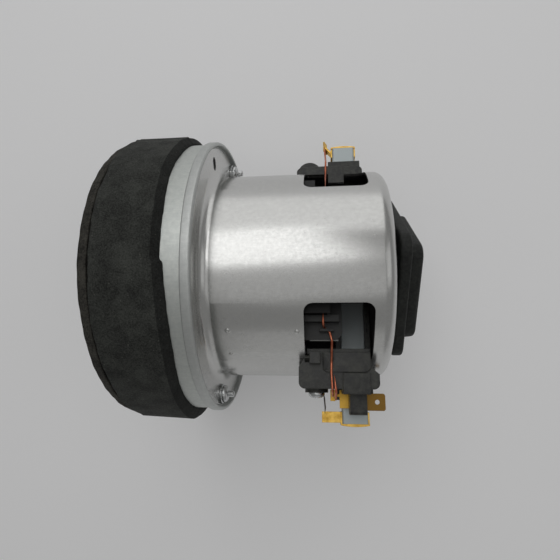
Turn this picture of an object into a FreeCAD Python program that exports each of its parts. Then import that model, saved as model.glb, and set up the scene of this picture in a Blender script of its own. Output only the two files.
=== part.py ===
"""Vacuum cleaner motor: fan shroud with a foam seal, drawn motor can, brush gear and a rubber rear mount.

Millimetres. The shaft runs along +X from the intake side; +Z is up with the motor lying on its side.
Brush gear is built in its own frame: X along the shaft, T across the brush, S outward along the brush.
"""
import FreeCAD, Part
import math
import os

V = FreeCAD.Vector
X_AXIS = V(1, 0, 0)
ORIGIN = V(0, 0, 0)

# Fan shroud and the soft parts round it
shroud_r = 55.5
shroud_wall = 0.8
shroud_corner_r = 2.4
seal_depth = 4.0
seal_front_r = shroud_r + 1.3
seal_back_r = shroud_r + 2.7
seal_width = 18.8
band_thickness = 3.15
band_outer_r = shroud_r + band_thickness
band_end_x = seal_depth + 21.6
band_edge = 0.9
shroud_front_x = seal_depth
eye_r = 17.0
eye_lip_depth = 4.6
eye_lip_turn_r = 3.0

# Can flange, can and rear wall
flange_front_x = 33.4
flange_wall = 1.0
lip_start_x = flange_front_x - 0.5
lip_end_x = flange_front_x + 3.4
lip_r = shroud_r + 0.9
lip_inner_r = shroud_r - 1.3
lip_bevel = 0.8
can_r = 42.5
can_wall = 1.0
can_foot_fillet = 3.6
can_rear_corner_r = 4.5
can_rear_x = 100.9
can_rear_dish = 0.5
bearing_r = 11.0
bearing_width = 7.0
pocket_r = bearing_r + can_wall
pocket_end_x = can_rear_x + 8.7
pocket_hole_r = 7.4
window_x0 = can_rear_x - 31.1
window_x1 = can_rear_x - 7.4
window_corner_r = 3.1
window_near_deg = (-48.6, -13.0)
window_top_deg = (48.5, 84.1)
flange_hole_r = shroud_r - 6.3
slot_deg = 67.0
slot_length = 4.8
slot_width = 3.8
screw_deg = (103.5, -75.0)
screw_ring_r = shroud_r - 5.5
screw_bore_r = 2.05
screw_head_r = 3.5
screw_head_height = 2.6
washer_r = 3.9
washer_wall = 0.8

# Brush axis and commutator
brush_deg = -75.0
gear_mid_x = window_x1 - 6.1
gear_stagger = 0.8
commutator_r = 11.6
commutator_x0 = gear_mid_x - 8.2
commutator_x1 = gear_mid_x + 8.4
commutator_bars = 24
commutator_slot = 0.5
riser_wall = 1.6
brush_face_gap = 0.05

# Shaft line
shaft_r = 4.0
stub_r = 3.0
front_bearing_x = flange_front_x - 0.8
rear_bearing_x = can_rear_x + 0.7
shaft_front_x = seal_depth + 4.6
shaft_rear_x = rear_bearing_x + 6.6
shaft_bevel = 0.5
inner_ring_r = 6.2
shield_gap = 0.1

# Fan stages
impeller_r = shroud_r - 6.1
impeller_front_x = shroud_front_x + 4.9
impeller_back_x = shroud_front_x + 14.0
impeller_rise = 4.2
impeller_wall = 0.9
impeller_eye_r = eye_r + 1.2
impeller_vanes = 9
washer_back_wall = 1.5
stub_shoulder_x = impeller_back_x + impeller_wall + washer_back_wall
guide_disc_x = stub_shoulder_x + 1.0
guide_disc_r = shroud_r - 4.1
guide_wall = 1.4
guide_vane_count = 11
bracket_x = flange_front_x - 2.0
bracket_wall = 2.0
bracket_ports = 6

# Armature and stator
armature_r = 19.4
core_x0 = 46.0
core_length = 22.0
core_x1 = core_x0 + core_length
armature_slots = 12
winding_front = 3.8
sleeve_r = shaft_r + 2.4
bore_r = armature_r + 0.6
pole_deg = brush_deg + 90.0
yoke_half = can_r - 7.5
yoke_inner_p = can_r - 8.9
yoke_inner_q = can_r - 14.9
pole_half = 11.0
shoe_r = bore_r + 5.4
coil_x_overhang = 9.6
coil_p0 = shoe_r + 1.2
coil_p1 = yoke_inner_p - 1.0
coil_q = 21.0
coil_corner_r = 8.0
frame_rear_x = gear_mid_x - 4.5
frame_wall = 1.0
frame_q = coil_q + 1.6
frame_wing_q = can_r - 11.5
frame_rim = 2.4
frame_short_x = core_x1 + 6.0

# Brush gear, in its own frame: x from the brush axis, T across, S outward
tube_half_x = 4.9
tube_half_t = 4.0
tube_wall = 0.5
tube_corner_r = 0.7
tube_s0 = commutator_r + 1.6
tube_s1 = can_r + 17.9
upper_seat = 0.9
brush_clear = 0.08
brush_length = 20.0
spring_wire_r = 0.32
spring_clear = 0.35
holder_x0 = -20.8
holder_x1 = 7.7
holder_t0 = -8.2
holder_t1 = 20.8
holder_s1 = can_r + 5.0
holder_corner_r = 2.2
lug_r = 5.0
lug_x = -15.2
lug_drop = 2.6
tongue_wall = 1.1
tongue_deg = 32.5
hook_wall = 2.0
hook_s0 = can_r - 9.1
skirt_t = -16.4
skirt_x1 = -0.8
skirt_s1 = can_r + 0.5
collar_half_x = tube_half_x + 2.1
collar_half_t = tube_half_t + 1.5
collar_s1 = can_r + 9.1
opening_clear = 0.3
boss_r = 4.4
boss_height = 1.4
terminal_t = collar_half_t + 0.1
terminal_wall = 0.8
spade_width = 6.3
spade_s0 = can_r + 6.5
spade_x0 = 4.3
spade_x1 = 11.3
spade_hole_r = 0.9
tab_x0 = -9.4
strip_x0 = -5.9
arm_x0 = -2.5
arm_x1 = 3.7
arm_s1 = can_r + 14.1
arm_t1 = 14.0
cap_wall = 0.6
cap_crown = 0.5
cap_leg = 4.2
strap_half_t = 1.6
tab_half_t = 1.7
tab_turn = 22.0
upper_tab_x = -8.0
plate_x0 = -12.7
holder_screw_x = -14.6
holder_screw_t = 8.0
holder_screw_r = 3.1
lead_r = 0.42
lead_bend = 0.9
link_r = 0.3

# Rubber rear mount
mount_deg = -27.0
mount_front_x = can_rear_x + 2.6
mount_step_x = mount_front_x + 4.1
mount_rear_x = mount_step_x + 5.5
mount_inner_side = 52.4
mount_inner_corner_r = 6.5
mount_outer_side = 40.8
mount_outer_corner_r = 5.5
mount_hub_r = pocket_r + 5.0
mount_hole_r = 7.0


def polar(deg, r, x=0.0):
    """Point at radius r about the shaft: 0 degrees is up (+Z), 90 degrees is +Y."""
    a = math.radians(deg)
    return V(x, r * math.sin(a), r * math.cos(a))


def rod(x0, x1, r):
    """Cylinder on the shaft axis."""
    return Part.makeCylinder(r, x1 - x0, V(x0, 0, 0), X_AXIS)


def ring(x0, x1, r_out, r_in):
    """Tube on the shaft axis."""
    return rod(x0, x1, r_out).cut(rod(x0 - 1, x1 + 1, r_in))


def revolve(steps):
    """Solid of revolution about the shaft from (x, r) corners; a step ("arc", mid, end) bends."""
    edges = []
    here = None
    first = None
    for step in steps:
        if step[0] == "arc":
            mid = V(step[1][0], step[1][1], 0)
            end = V(step[2][0], step[2][1], 0)
            edges.append(Part.Arc(here, mid, end).toShape())
        else:
            end = V(step[0], step[1], 0)
            if here is not None:
                edges.append(Part.makeLine(here, end))
        if first is None:
            first = end
        here = end
    if here.distanceToPoint(first) > 1e-6:
        edges.append(Part.makeLine(here, first))
    return Part.Face(Part.Wire(edges)).revolve(ORIGIN, X_AXIS, 360)


def arc_mid(cx, cr, r, deg):
    """Point on a profile arc, degrees from the outward radial direction towards +X."""
    a = math.radians(deg)
    return (cx + r * math.sin(a), cr + r * math.cos(a))


def block(x0, x1, y0, y1, z0, z1):
    """Box between two corners."""
    return Part.makeBox(x1 - x0, y1 - y0, z1 - z0, V(x0, y0, z0))


def turn(shape, deg):
    """Turn a shape built with its outward axis on +Z so that axis points at deg."""
    done = shape.copy()
    done.rotate(ORIGIN, X_AXIS, -deg)
    return done


def fuse_all(shapes):
    """One solid from several that meet."""
    return shapes[0].multiFuse(shapes[1:]).removeSplitter()


def picked_edges(shape, pick):
    """The edges whose middle point passes the test pick."""
    edges = []
    for e in shape.Edges:
        mid = e.valueAt((e.FirstParameter + e.LastParameter) / 2)
        if pick(mid, e):
            edges.append(e)
    return edges


def rounded(shape, r, pick):
    """Fillet the picked edges."""
    return shape.makeFillet(r, picked_edges(shape, pick))


def bevelled(shape, size, pick):
    """Chamfer the picked edges."""
    return shape.makeChamfer(size, picked_edges(shape, pick))


def upright(e, axis):
    """True when the straight edge e runs along the given axis."""
    if e.Curve.TypeId != "Part::GeomLine":
        return False
    return abs(abs(e.tangentAt(e.FirstParameter).dot(axis)) - 1) < 1e-6


def wire_rod(points, r, bend):
    """Round wire along a polyline of points, its corners bent to a radius."""
    pts = [V(*p) for p in points]
    edges = []
    start = pts[0]
    for i in range(1, len(pts) - 1):
        back = (pts[i - 1] - pts[i]).normalize()
        ahead = (pts[i + 1] - pts[i]).normalize()
        half = math.acos(max(-1.0, min(1.0, back.dot(ahead)))) / 2
        reach = bend / math.tan(half)
        a = pts[i] + back * reach
        b = pts[i] + ahead * reach
        middle = (back + ahead).normalize()
        m = pts[i] + middle * (bend / math.sin(half) - bend)
        edges.append(Part.makeLine(start, a))
        edges.append(Part.Arc(a, m, b).toShape())
        start = b
    edges.append(Part.makeLine(start, pts[-1]))
    path = Part.Wire(edges)
    way = edges[0].tangentAt(edges[0].FirstParameter)
    section = Part.Wire(Part.makeCircle(r, pts[0], way))
    return path.makePipeShell([section], True, False)


def front_seal_ring():
    """Foam ring glued on the shroud's front wall."""
    inner_r = seal_front_r - seal_width
    return revolve([(0, inner_r), (0, seal_front_r), (seal_depth, seal_back_r), (seal_depth, inner_r)])


def seal_band():
    """Closed-cell rubber strip round the shroud."""
    back = band_end_x
    return revolve([
        (seal_depth, shroud_r), (seal_depth, band_outer_r), (back - band_edge, band_outer_r),
        (back, band_outer_r - band_edge), (back + band_edge, shroud_r)])


def fan_shroud():
    """Drawn steel cup with a turned-in intake eye."""
    x0 = shroud_front_x
    c = shroud_corner_r
    w = shroud_wall
    end = flange_front_x - 0.1
    lip = x0 + eye_lip_depth
    t = eye_lip_turn_r
    k = w * (math.sqrt(2) - 1)
    return revolve([
        (lip, eye_r), (x0 + t, eye_r),
        ("arc", arc_mid(x0 + t, eye_r + t, t, 225), (x0, eye_r + t)),
        (x0, shroud_r - c), (x0 + c, shroud_r), (end, shroud_r), (end, shroud_r - w),
        (x0 + c + k, shroud_r - w), (x0 + w, shroud_r - c - k),
        (x0 + w, eye_r + t), (x0 + t, eye_r + w), (lip, eye_r + w)])


def curved_vane(r_in, r_out, sweep, wall, x0, x1):
    """Upright blade between two radii, bent back by the sweep angle in degrees."""
    mid_r = (r_in + r_out) / 2
    inner = polar(0, r_in, x0)
    middle = polar(sweep * 0.38, mid_r, x0)
    outer = polar(sweep, r_out, x0)
    bend = Part.Arc(inner, middle, outer).toShape().Curve
    centre = bend.Center
    close = 1 - wall / 2 / bend.Radius
    wide = 1 + wall / 2 / bend.Radius
    a0, a1, a2 = [centre + (p - centre) * close for p in (inner, middle, outer)]
    b0, b1, b2 = [centre + (p - centre) * wide for p in (inner, middle, outer)]
    face = Part.Face(Part.Wire([
        Part.Arc(a0, a1, a2).toShape(), Part.makeLine(a2, b2),
        Part.Arc(b2, b1, b0).toShape(), Part.makeLine(b0, a0)]))
    return face.extrude(V(x1 - x0, 0, 0))


def impeller():
    """Closed fan wheel: two discs with swept-back vanes between them."""
    w = impeller_wall
    back = impeller_back_x
    front = impeller_front_x
    rim = front + impeller_rise
    back_disc = ring(back, back + w, impeller_r, stub_r)
    cone = revolve([
        (front - 1.6, impeller_eye_r), (front - 1.6, impeller_eye_r + w), (front, impeller_eye_r + w),
        (rim, impeller_r), (rim + w, impeller_r), (front + w, impeller_eye_r)])
    room = revolve([
        (front + w * 0.5, impeller_eye_r), (rim + w * 0.5, impeller_r), (back + w * 0.5, impeller_r),
        (back + w * 0.5, impeller_eye_r)])
    solids = [back_disc, cone]
    for i in range(impeller_vanes):
        vane = curved_vane(impeller_eye_r + 1, impeller_r - 0.6, 52, w, front - 2, back + w)
        solids.append(turn(vane, 360 * i / impeller_vanes).common(room))
    return fuse_all(solids)


def clamp_washers():
    """Front and rear washers that clamp the fan wheel on the shaft."""
    front = ring(impeller_back_x - washer_back_wall, impeller_back_x, 9.0, stub_r)
    rear = ring(impeller_back_x + impeller_wall, stub_shoulder_x, 9.0, stub_r)
    return Part.makeCompound([front, rear])


def fan_nut():
    """Hexagon nut on the shaft's front thread."""
    flats = 10.0
    x1 = impeller_back_x - washer_back_wall
    x0 = x1 - 5.0
    corner = flats / math.sqrt(3)
    pts = [polar(60 * i, corner, x0) for i in range(7)]
    nut = Part.Face(Part.makePolygon(pts)).extrude(V(x1 - x0, 0, 0))
    return nut.cut(rod(x0 - 1, x1 + 1, stub_r))


def spacer_sleeve():
    """Sleeve between the fan wheel's rear washer and the front bearing."""
    return ring(stub_shoulder_x, front_bearing_x, 5.4, shaft_r)


def shaft():
    """Ground steel shaft with a turned-down front end."""
    bevel = shaft_bevel
    return revolve([
        (shaft_front_x, 0), (shaft_front_x, stub_r - bevel), (shaft_front_x + bevel, stub_r),
        (stub_shoulder_x, stub_r), (stub_shoulder_x, shaft_r), (shaft_rear_x - bevel, shaft_r),
        (shaft_rear_x, shaft_r - bevel), (shaft_rear_x, 0)])


def guide_vanes():
    """Moulded stationary guide disc; its vanes lead the air back to the shaft."""
    x0 = guide_disc_x
    x1 = x0 + guide_wall
    room_r = shroud_r - shroud_wall
    solids = [ring(x0, x1, guide_disc_r, shaft_r + 3.4)]
    for i in range(guide_vane_count):
        vane = curved_vane(guide_disc_r * 0.47, room_r, -46, 1.5, x1 - guide_wall / 2, bracket_x)
        solids.append(turn(vane, 360 * i / guide_vane_count))
    return fuse_all(solids).common(rod(x0, bracket_x, room_r))


def flange_slots(x0, x1):
    """Tools for the two oval holes behind which the bracket is open as well."""
    tools = []
    for deg in (slot_deg, slot_deg + 180):
        slot = block(x0, x1, -slot_width / 2, slot_width / 2, -slot_length / 2, slot_length / 2)
        slot = rounded(slot, slot_width / 2 - 0.01, lambda m, e: upright(e, X_AXIS))
        tools.append(turn(slot.translated(V(0, 0, flange_hole_r)), deg))
    return tools


def bearing_bracket():
    """Cast front bearing bracket with air passages round the bearing seat."""
    x0 = bracket_x
    x1 = bracket_x + bracket_wall
    end = front_bearing_x + bearing_width
    plate = rod(x0, x1, shroud_r - shroud_wall)
    hub = rod(x0, end + 1.4, bearing_r + 2.2)
    body = plate.fuse(hub)
    body = body.cut(rod(x0 - 1, end, bearing_r))
    body = body.cut(rod(x0 - 1, end + 2, bearing_r - 2.3))
    half = 180 / bracket_ports - 5.5
    for i in range(bracket_ports):
        port = ring(x0 - 1, x1 + 1, can_r - 3.5, bearing_r + 9)
        wedge_pts = [polar(-half, shroud_r * 1.2, x0 - 1), polar(half, shroud_r * 1.2, x0 - 1)]
        wedge = Part.Face(Part.makePolygon([V(x0 - 1, 0, 0)] + wedge_pts + [V(x0 - 1, 0, 0)]))
        port = port.common(wedge.extrude(V(bracket_wall + 2, 0, 0)))
        body = body.cut(turn(port, 360 * i / bracket_ports + 13))
    for deg in screw_deg:
        at = polar(deg, screw_ring_r, x0 - 1)
        body = body.cut(Part.makeCylinder(screw_bore_r, bracket_wall + 2, at, X_AXIS))
    return body.cut(flange_slots(x0 - 1, x1 + 1))


def window_cutter(deg0, deg1):
    """Rounded opening through the can's wall between two angles."""
    mid = (deg0 + deg1) / 2
    half = math.radians((deg1 - deg0) / 2)
    reach = can_r * math.sin(half)
    cutter = block(window_x0, window_x1, -reach, reach, can_r * 0.55, can_r + 8)
    return turn(rounded(cutter, window_corner_r, lambda m, e: upright(e, V(0, 0, 1))), mid)


def motor_can():
    """Deep-drawn can with its flange, rolled lip, windows and rear bearing pocket."""
    w = can_wall
    bevel = lip_bevel
    flange_x = flange_front_x + flange_wall
    foot = can_foot_fillet
    inner_bevel = (foot + w) * (2 - math.sqrt(2))
    c = can_rear_corner_r
    rear = can_rear_x
    dish = rear + can_rear_dish
    body = revolve([
        (lip_start_x, shroud_r), (lip_start_x, lip_r), (lip_end_x - bevel, lip_r), (lip_end_x, lip_r - bevel),
        (lip_end_x, lip_inner_r + bevel), (lip_end_x - bevel, lip_inner_r),
        (flange_x, lip_inner_r), (flange_x, can_r + foot),
        ("arc", arc_mid(flange_x + foot, can_r + foot, foot, 225), (flange_x + foot, can_r)),
        (rear - c, can_r),
        ("arc", arc_mid(rear - c, can_r - c, c, 45), (rear, can_r - c)),
        (dish, pocket_r + 2), (dish, pocket_r), (pocket_end_x, pocket_r), (pocket_end_x, pocket_hole_r),
        (pocket_end_x - w, pocket_hole_r), (pocket_end_x - w, bearing_r), (rear - w, bearing_r),
        (rear - w, can_r - c), (rear - c, can_r - w),
        (flange_front_x + inner_bevel, can_r - w), (flange_front_x, can_r - w + inner_bevel),
        (flange_front_x, shroud_r)])
    for deg0, deg1 in (window_near_deg, window_top_deg):
        body = body.cut(window_cutter(deg0, deg1))
        body = body.cut(window_cutter(deg0 + 180, deg1 + 180))
    hx = collar_half_x + opening_clear
    ht = collar_half_t + opening_clear
    for upper in (False, True):
        body = body.cut(place_gear(block(-hx, hx, -ht, ht, can_r - 6, can_r + 6), upper))
    body = body.cut(flange_slots(lip_start_x, flange_x + 1))
    for deg in screw_deg:
        at = polar(deg, screw_ring_r, flange_front_x - 1)
        body = body.cut(Part.makeCylinder(screw_bore_r, flange_wall + 2, at, X_AXIS))
    for x, deg, size in ((43.3, -26.9, 0.55), (67.4, -27.5, 0.6)):
        pip = Part.makeCylinder(size, 1.25, polar(deg, can_r - w, x), polar(deg, 1))
        body = body.fuse(pip)
    return body.removeSplitter()


def flange_screws():
    """Pan-head screws and washers that hold the bearing bracket to the can's flange."""
    seat = flange_front_x + flange_wall
    solids = []
    for deg in screw_deg:
        at = polar(deg, screw_ring_r, seat)
        washer = Part.makeCylinder(washer_r, washer_wall, at, X_AXIS)
        head = Part.makeCylinder(screw_head_r, screw_head_height, at + V(washer_wall, 0, 0), X_AXIS)
        shank = Part.makeCylinder(screw_bore_r, seat - bracket_x, at - V(seat - bracket_x, 0, 0), X_AXIS)
        solids.append(fuse_all([washer, head, shank]))
    return Part.makeCompound(solids)


def bearing_outer(x0):
    """Outer ring of a deep-groove bearing together with its shields."""
    return ring(x0, x0 + bearing_width, bearing_r, inner_ring_r + shield_gap)


def bearing_inner(x0):
    """Inner ring of a bearing."""
    return ring(x0, x0 + bearing_width, inner_ring_r, shaft_r)


def stator_core():
    """Stack of field laminations with two poles across the brush axis."""
    outer = rod(core_x0, core_x1, can_r - can_wall)
    outer = outer.common(block(core_x0, core_x1, -yoke_half, yoke_half, -can_r, can_r))
    hollow = block(core_x0 - 1, core_x1 + 1, -yoke_inner_q, yoke_inner_q, -yoke_inner_p, yoke_inner_p)
    hollow = rounded(hollow, 7, lambda m, e: upright(e, X_AXIS))
    core = outer.cut(hollow)
    shoe = ring(core_x0, core_x1, shoe_r, bore_r)
    cheek = block(core_x0, core_x1, -can_r, can_r, 9.5, can_r)
    for sign in (1, -1):
        pole = block(core_x0, core_x1, -pole_half, pole_half, bore_r + 2, yoke_inner_p + 1)
        half = pole.fuse(shoe.common(cheek))
        if sign < 0:
            half.rotate(ORIGIN, X_AXIS, 180)
        core = core.fuse(half)
    core = core.cut(rod(core_x0 - 1, core_x1 + 1, bore_r))
    return turn(core.removeSplitter(), pole_deg)


def coil_frame(side):
    """Insulating frame of one field coil, with wings behind the stack and a clip that holds down the lead.

    Both frames have their long wing towards the lower brush gear, so the far one is the other hand."""
    x0 = core_x0 - coil_x_overhang
    x1 = core_x1 + 0.3
    end = core_x1 + coil_x_overhang + 1.2
    q = frame_q
    w = frame_wall
    floor_p = coil_p0 - w
    rim_p = coil_p0 + frame_rim + w
    inner = block(x0, frame_rear_x, -q, q, floor_p, coil_p0)
    wing = block(x1, frame_rear_x, -frame_wing_q, 0, floor_p, coil_p0)
    wing = rounded(wing, 3.0, lambda m, e: upright(e, V(0, 0, 1)) and m.x > core_x1 + 1 and m.y < -1)
    short_wing = block(x1, frame_short_x, 0, frame_wing_q, floor_p, coil_p0)
    rim = block(x1, frame_rear_x - 1.0, -q - frame_rim, -q, floor_p, rim_p)
    short_rim = block(x1, frame_short_x, q, q + frame_rim, floor_p, rim_p)
    clip_q = -q - frame_rim
    clip = block(core_x1 + 7.0, core_x1 + 11.9, clip_q - 3.2, clip_q - 2.2, coil_p0 + 1.1, coil_p0 + 1.9)
    feet = [block(a, a + 0.6, clip_q - 3.2, clip_q - 2.2, floor_p, coil_p0 + 1.9)
            for a in (core_x1 + 7.0, core_x1 + 11.3)]
    can_room = rod(x0, frame_rear_x, can_r - can_wall - 0.4)
    outer = block(core_x1 + 0.1, end, -q, q, coil_p1, coil_p1 + w).common(can_room)
    post = block(end - w, end, -q, q, floor_p, coil_p1 + w).common(can_room)
    reach = pole_half + 1.2
    collar = block(core_x0 - 1.2, core_x1 + 1.2, -reach, reach, coil_p0 - 0.5, coil_p1 + 0.5)
    gap = pole_half + 0.1
    hole = block(core_x0 - 0.1, core_x1 + 0.1, -gap, gap, coil_p0 - 3, coil_p1 + 3)
    frame = fuse_all([inner, wing, short_wing, collar, outer, post, rim, short_rim, clip] + feet).cut(hole)
    frame = frame.cut(block(core_x0 - 0.1, core_x1 + 0.1, -can_r, can_r, coil_p1 + 0.1, can_r))
    if side:
        frame = frame.mirror(ORIGIN, V(0, 1, 0))
    return turn(frame, pole_deg + side)


def field_coil(side):
    """Enamelled copper coil round one pole."""
    x0 = core_x0 - coil_x_overhang + 0.4
    x1 = core_x1 + coil_x_overhang - 0.4
    coil = block(x0, x1, -coil_q, coil_q, coil_p0, coil_p1)
    coil = rounded(coil, coil_corner_r, lambda m, e: upright(e, V(0, 0, 1)))
    eye = block(core_x0 - 1.2, core_x1 + 1.2, -pole_half - 1.2, pole_half + 1.2, coil_p0 - 1, coil_p1 + 1)
    coil = coil.cut(eye)
    return turn(coil, pole_deg + side)


def armature_core():
    """Slotted armature stack."""
    core = ring(core_x0, core_x1, armature_r, shaft_r)
    for i in range(armature_slots):
        slot = block(core_x0 - 1, core_x1 + 1, -0.9, 0.9, armature_r - 1.8, armature_r + 1)
        core = core.cut(turn(slot, 360 * i / armature_slots))
    return core


def armature_winding():
    """End turns of the armature winding on both sides of the stack."""
    rear_end = commutator_x0 - riser_wall
    end = core_x0 - winding_front
    front = revolve([
        (end, sleeve_r), (end, armature_r - 6.4), (end + 1.2, armature_r - 3.6), (core_x0, armature_r - 1.8),
        (core_x0, sleeve_r)])
    rear = revolve([
        (core_x1, sleeve_r), (core_x1, armature_r - 1.8), (core_x1 + 3.4, armature_r - 3.0),
        (core_x1 + 7.0, commutator_r), (rear_end, commutator_r - 1.2), (rear_end, sleeve_r)])
    return Part.makeCompound([front, rear])


def insulating_sleeves():
    """Insulating tubes on the shaft under the winding."""
    front = ring(front_bearing_x + bearing_width, core_x0, sleeve_r, shaft_r)
    rear = ring(core_x1, commutator_x0 - riser_wall, sleeve_r, shaft_r)
    return Part.makeCompound([front, rear])


def commutator():
    """Copper commutator with its bars parted by narrow slots and a ring of wire hooks."""
    body = ring(commutator_x0, commutator_x1, commutator_r, shaft_r)
    riser = ring(commutator_x0 - riser_wall, commutator_x0, commutator_r + 1.2, shaft_r)
    body = body.fuse(riser)
    cutters = []
    for i in range(commutator_bars):
        half = commutator_slot / 2
        slot = block(commutator_x0 - 2, commutator_x1 + 1, -half, half, commutator_r - 0.7, commutator_r + 3)
        cutters.append(turn(slot, 360 * (i + 0.5) / commutator_bars))
    return body.cut(Part.makeCompound(cutters))


def place_gear(shape, upper):
    """Put gear built about the brush axis, with S on +Z and T on +Y, onto its side of the can."""
    done = shape.copy()
    done.translate(V(gear_mid_x - gear_stagger if upper else gear_mid_x + gear_stagger, 0, 0))
    return turn(done, brush_deg + (180 if upper else 0))


def tube_box(half_x, half_t, s0, s1):
    """Box centred on the brush axis."""
    return block(-half_x, half_x, -half_t, half_t, s0, s1)


def holder_tongue():
    """Thin tongue that lies round the can over the window's lower corner."""
    x0 = holder_x0 + 2.2
    x1 = x0 + window_corner_r + 2.2
    low = can_r * 0.7
    high = can_r + 8
    inner_t = holder_t1 - 6
    spread = math.tan(math.radians(tongue_deg))
    corners = [(inner_t, low), (inner_t, high), (high * spread, high), (low * spread, low), (inner_t, low)]
    sector = Part.Face(Part.makePolygon([V(x0, t, s) for t, s in corners])).extrude(V(x1 - x0, 0, 0))
    return ring(x0, x1, can_r + tongue_wall, can_r).common(sector)


def brush_holder():
    """Moulded holder saddled on the can, hooked into the windows on both its sides, with a terminal arm."""
    x0 = holder_x0
    x1 = holder_x1
    t1 = holder_t1
    saddle_s = can_r * 0.77
    body = block(x0, x1, holder_t0, t1, saddle_s, holder_s1)
    body = rounded(body, holder_corner_r, lambda m, e: upright(e, V(0, 1, 0)) and m.z > can_r)
    lug = Part.makeCylinder(lug_r, 5.0, V(lug_x, holder_t0, holder_s1 - lug_drop), V(0, 1, 0))
    skirt = block(x0 + 2.2, skirt_x1, skirt_t, holder_t0 + 1, saddle_s, skirt_s1)
    body = body.fuse(lug).fuse(skirt)
    shoulders = (
        [(x1 - 5.9, saddle_s - 2), (x1 + 1, saddle_s - 2), (x1 + 1, can_r + 0.6), (x1 - 5.9, can_r - 5.1)],
        [(x0 - 1, saddle_s - 2), (x0 + 2.1, saddle_s - 2), (x0 + 2.1, can_r - 6.0), (x0 - 1, can_r - 0.9)])
    for corners in shoulders:
        points = [V(x, holder_t0 + 14, z) for x, z in corners + corners[:1]]
        body = body.cut(Part.Face(Part.makePolygon(points)).extrude(V(0, t1, 0)))
    body = body.cut(Part.makeCylinder(can_r, 2 * (x1 - x0), V(x0 - 10, 0, 0), X_AXIS))
    half = (window_x1 - window_x0) / 2 - 0.5
    mid = (window_x1 + window_x0) / 2 - gear_mid_x - gear_stagger
    web_half = half - window_corner_r
    web = block(mid - web_half, mid + web_half, t1 - 1.4, t1, hook_s0, can_r - 2.5)
    hook = block(mid - half, mid + half, t1 - 7.8, t1, hook_s0, hook_s0 + hook_wall)
    rear_web = block(skirt_x1 - 6.5, skirt_x1, skirt_t, skirt_t + 1.1, can_r - 7.3, can_r - 0.8)
    boss = Part.makeCylinder(boss_r, boss_height, V(holder_screw_x, holder_screw_t, holder_s1), V(0, 0, 1))
    collar = tube_box(collar_half_x, collar_half_t, can_r - 4.5, collar_s1)
    guide_x1 = collar_half_x - 0.2
    guide = block(tube_half_x - 0.2, guide_x1, -collar_half_t, collar_half_t, tube_s0 + 0.8, can_r - 3.5)
    t_in = terminal_t + terminal_wall
    rib = block(arm_x0 - 2.6, arm_x1 + 0.7, arm_t1, t1 + 0.9, can_r - 0.5, can_r + 6.7)
    shoulder = block(arm_x0 - 2.6, arm_x1 + 0.7, t_in, arm_t1 + 1, holder_s1 - 1.5, can_r + 6.7)
    arm = block(arm_x0, arm_x1, t_in, arm_t1, holder_s1 - 1.5, arm_s1)
    arm = rounded(arm, 1.2, lambda m, e: upright(e, X_AXIS) and m.z > can_r + 8 and m.y > t_in + 1)
    body = fuse_all([body, holder_tongue(), web, hook, rear_web, boss, collar, guide, rib, shoulder, arm])
    return body.cut(tube_box(tube_half_x, tube_half_t, tube_s0 - 2, tube_s1 + 5))


def brush_tube():
    """Folded metal guide tube of the brush."""
    outer = tube_box(tube_half_x, tube_half_t, tube_s0, tube_s1)
    outer = rounded(outer, tube_corner_r, lambda m, e: upright(e, V(0, 0, 1)))
    inner = tube_box(tube_half_x - tube_wall, tube_half_t - tube_wall, tube_s0 - 1, tube_s1 + 1)
    return outer.cut(inner)


def carbon_brush():
    """Carbon block with a face worn to the commutator."""
    hx = tube_half_x - tube_wall - brush_clear
    ht = tube_half_t - tube_wall - brush_clear
    face = commutator_r + brush_face_gap
    stick = tube_box(hx, ht, face - 1.5, face + brush_length)
    return stick.cut(Part.makeCylinder(face, 4 * hx, V(-2 * hx, 0, 0), X_AXIS))


def brush_spring(seat):
    """Room that the brush spring fills inside the tube, from the brush to the cap."""
    r = tube_half_t - tube_wall - spring_clear
    s0 = commutator_r + brush_face_gap + brush_length
    length = tube_s1 - seat - s0
    at = V(0, 0, s0)
    sleeve = Part.makeCylinder(r, length, at, V(0, 0, 1))
    return sleeve.cut(Part.makeCylinder(r - 2 * spring_wire_r, length, at, V(0, 0, 1)))


def end_cap():
    """Brass clip over the tube's outer end, crowned across its width."""
    w = cap_wall
    half = tube_half_x + w
    deep = tube_half_t - 0.4
    legs = []
    for a, b in ((-half, -tube_half_x), (tube_half_x, half)):
        legs.append(block(a, b, 1 - tube_half_t, tube_half_t - 1, tube_s1 - cap_leg, tube_s1))
    a = V(-half, -deep, tube_s1)
    b = V(half, -deep, tube_s1)
    rise = V(0, 0, w)
    crown = Part.Arc(a + rise, V(0, -deep, tube_s1 + w + cap_crown), b + rise).toShape()
    outline = Part.Wire([Part.makeLine(b, a), Part.makeLine(a, a + rise), crown, Part.makeLine(b + rise, b)])
    top = Part.Face(outline).extrude(V(0, 2 * deep, 0))
    return fuse_all([top] + legs)


def seated(shape):
    """The upper tube and its clip sit a little deeper in their holder."""
    return shape.translated(V(0, 0, -upper_seat))


def lower_cap():
    """Lower clip with the flat plate that takes the link wire."""
    x1 = -tube_half_x - cap_wall
    plate = block(plate_x0, x1 + 0.3, 1.4, 1.4 + cap_wall, tube_s1 - 4.3, tube_s1 - 0.2)
    return end_cap().fuse(plate).removeSplitter()


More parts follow.
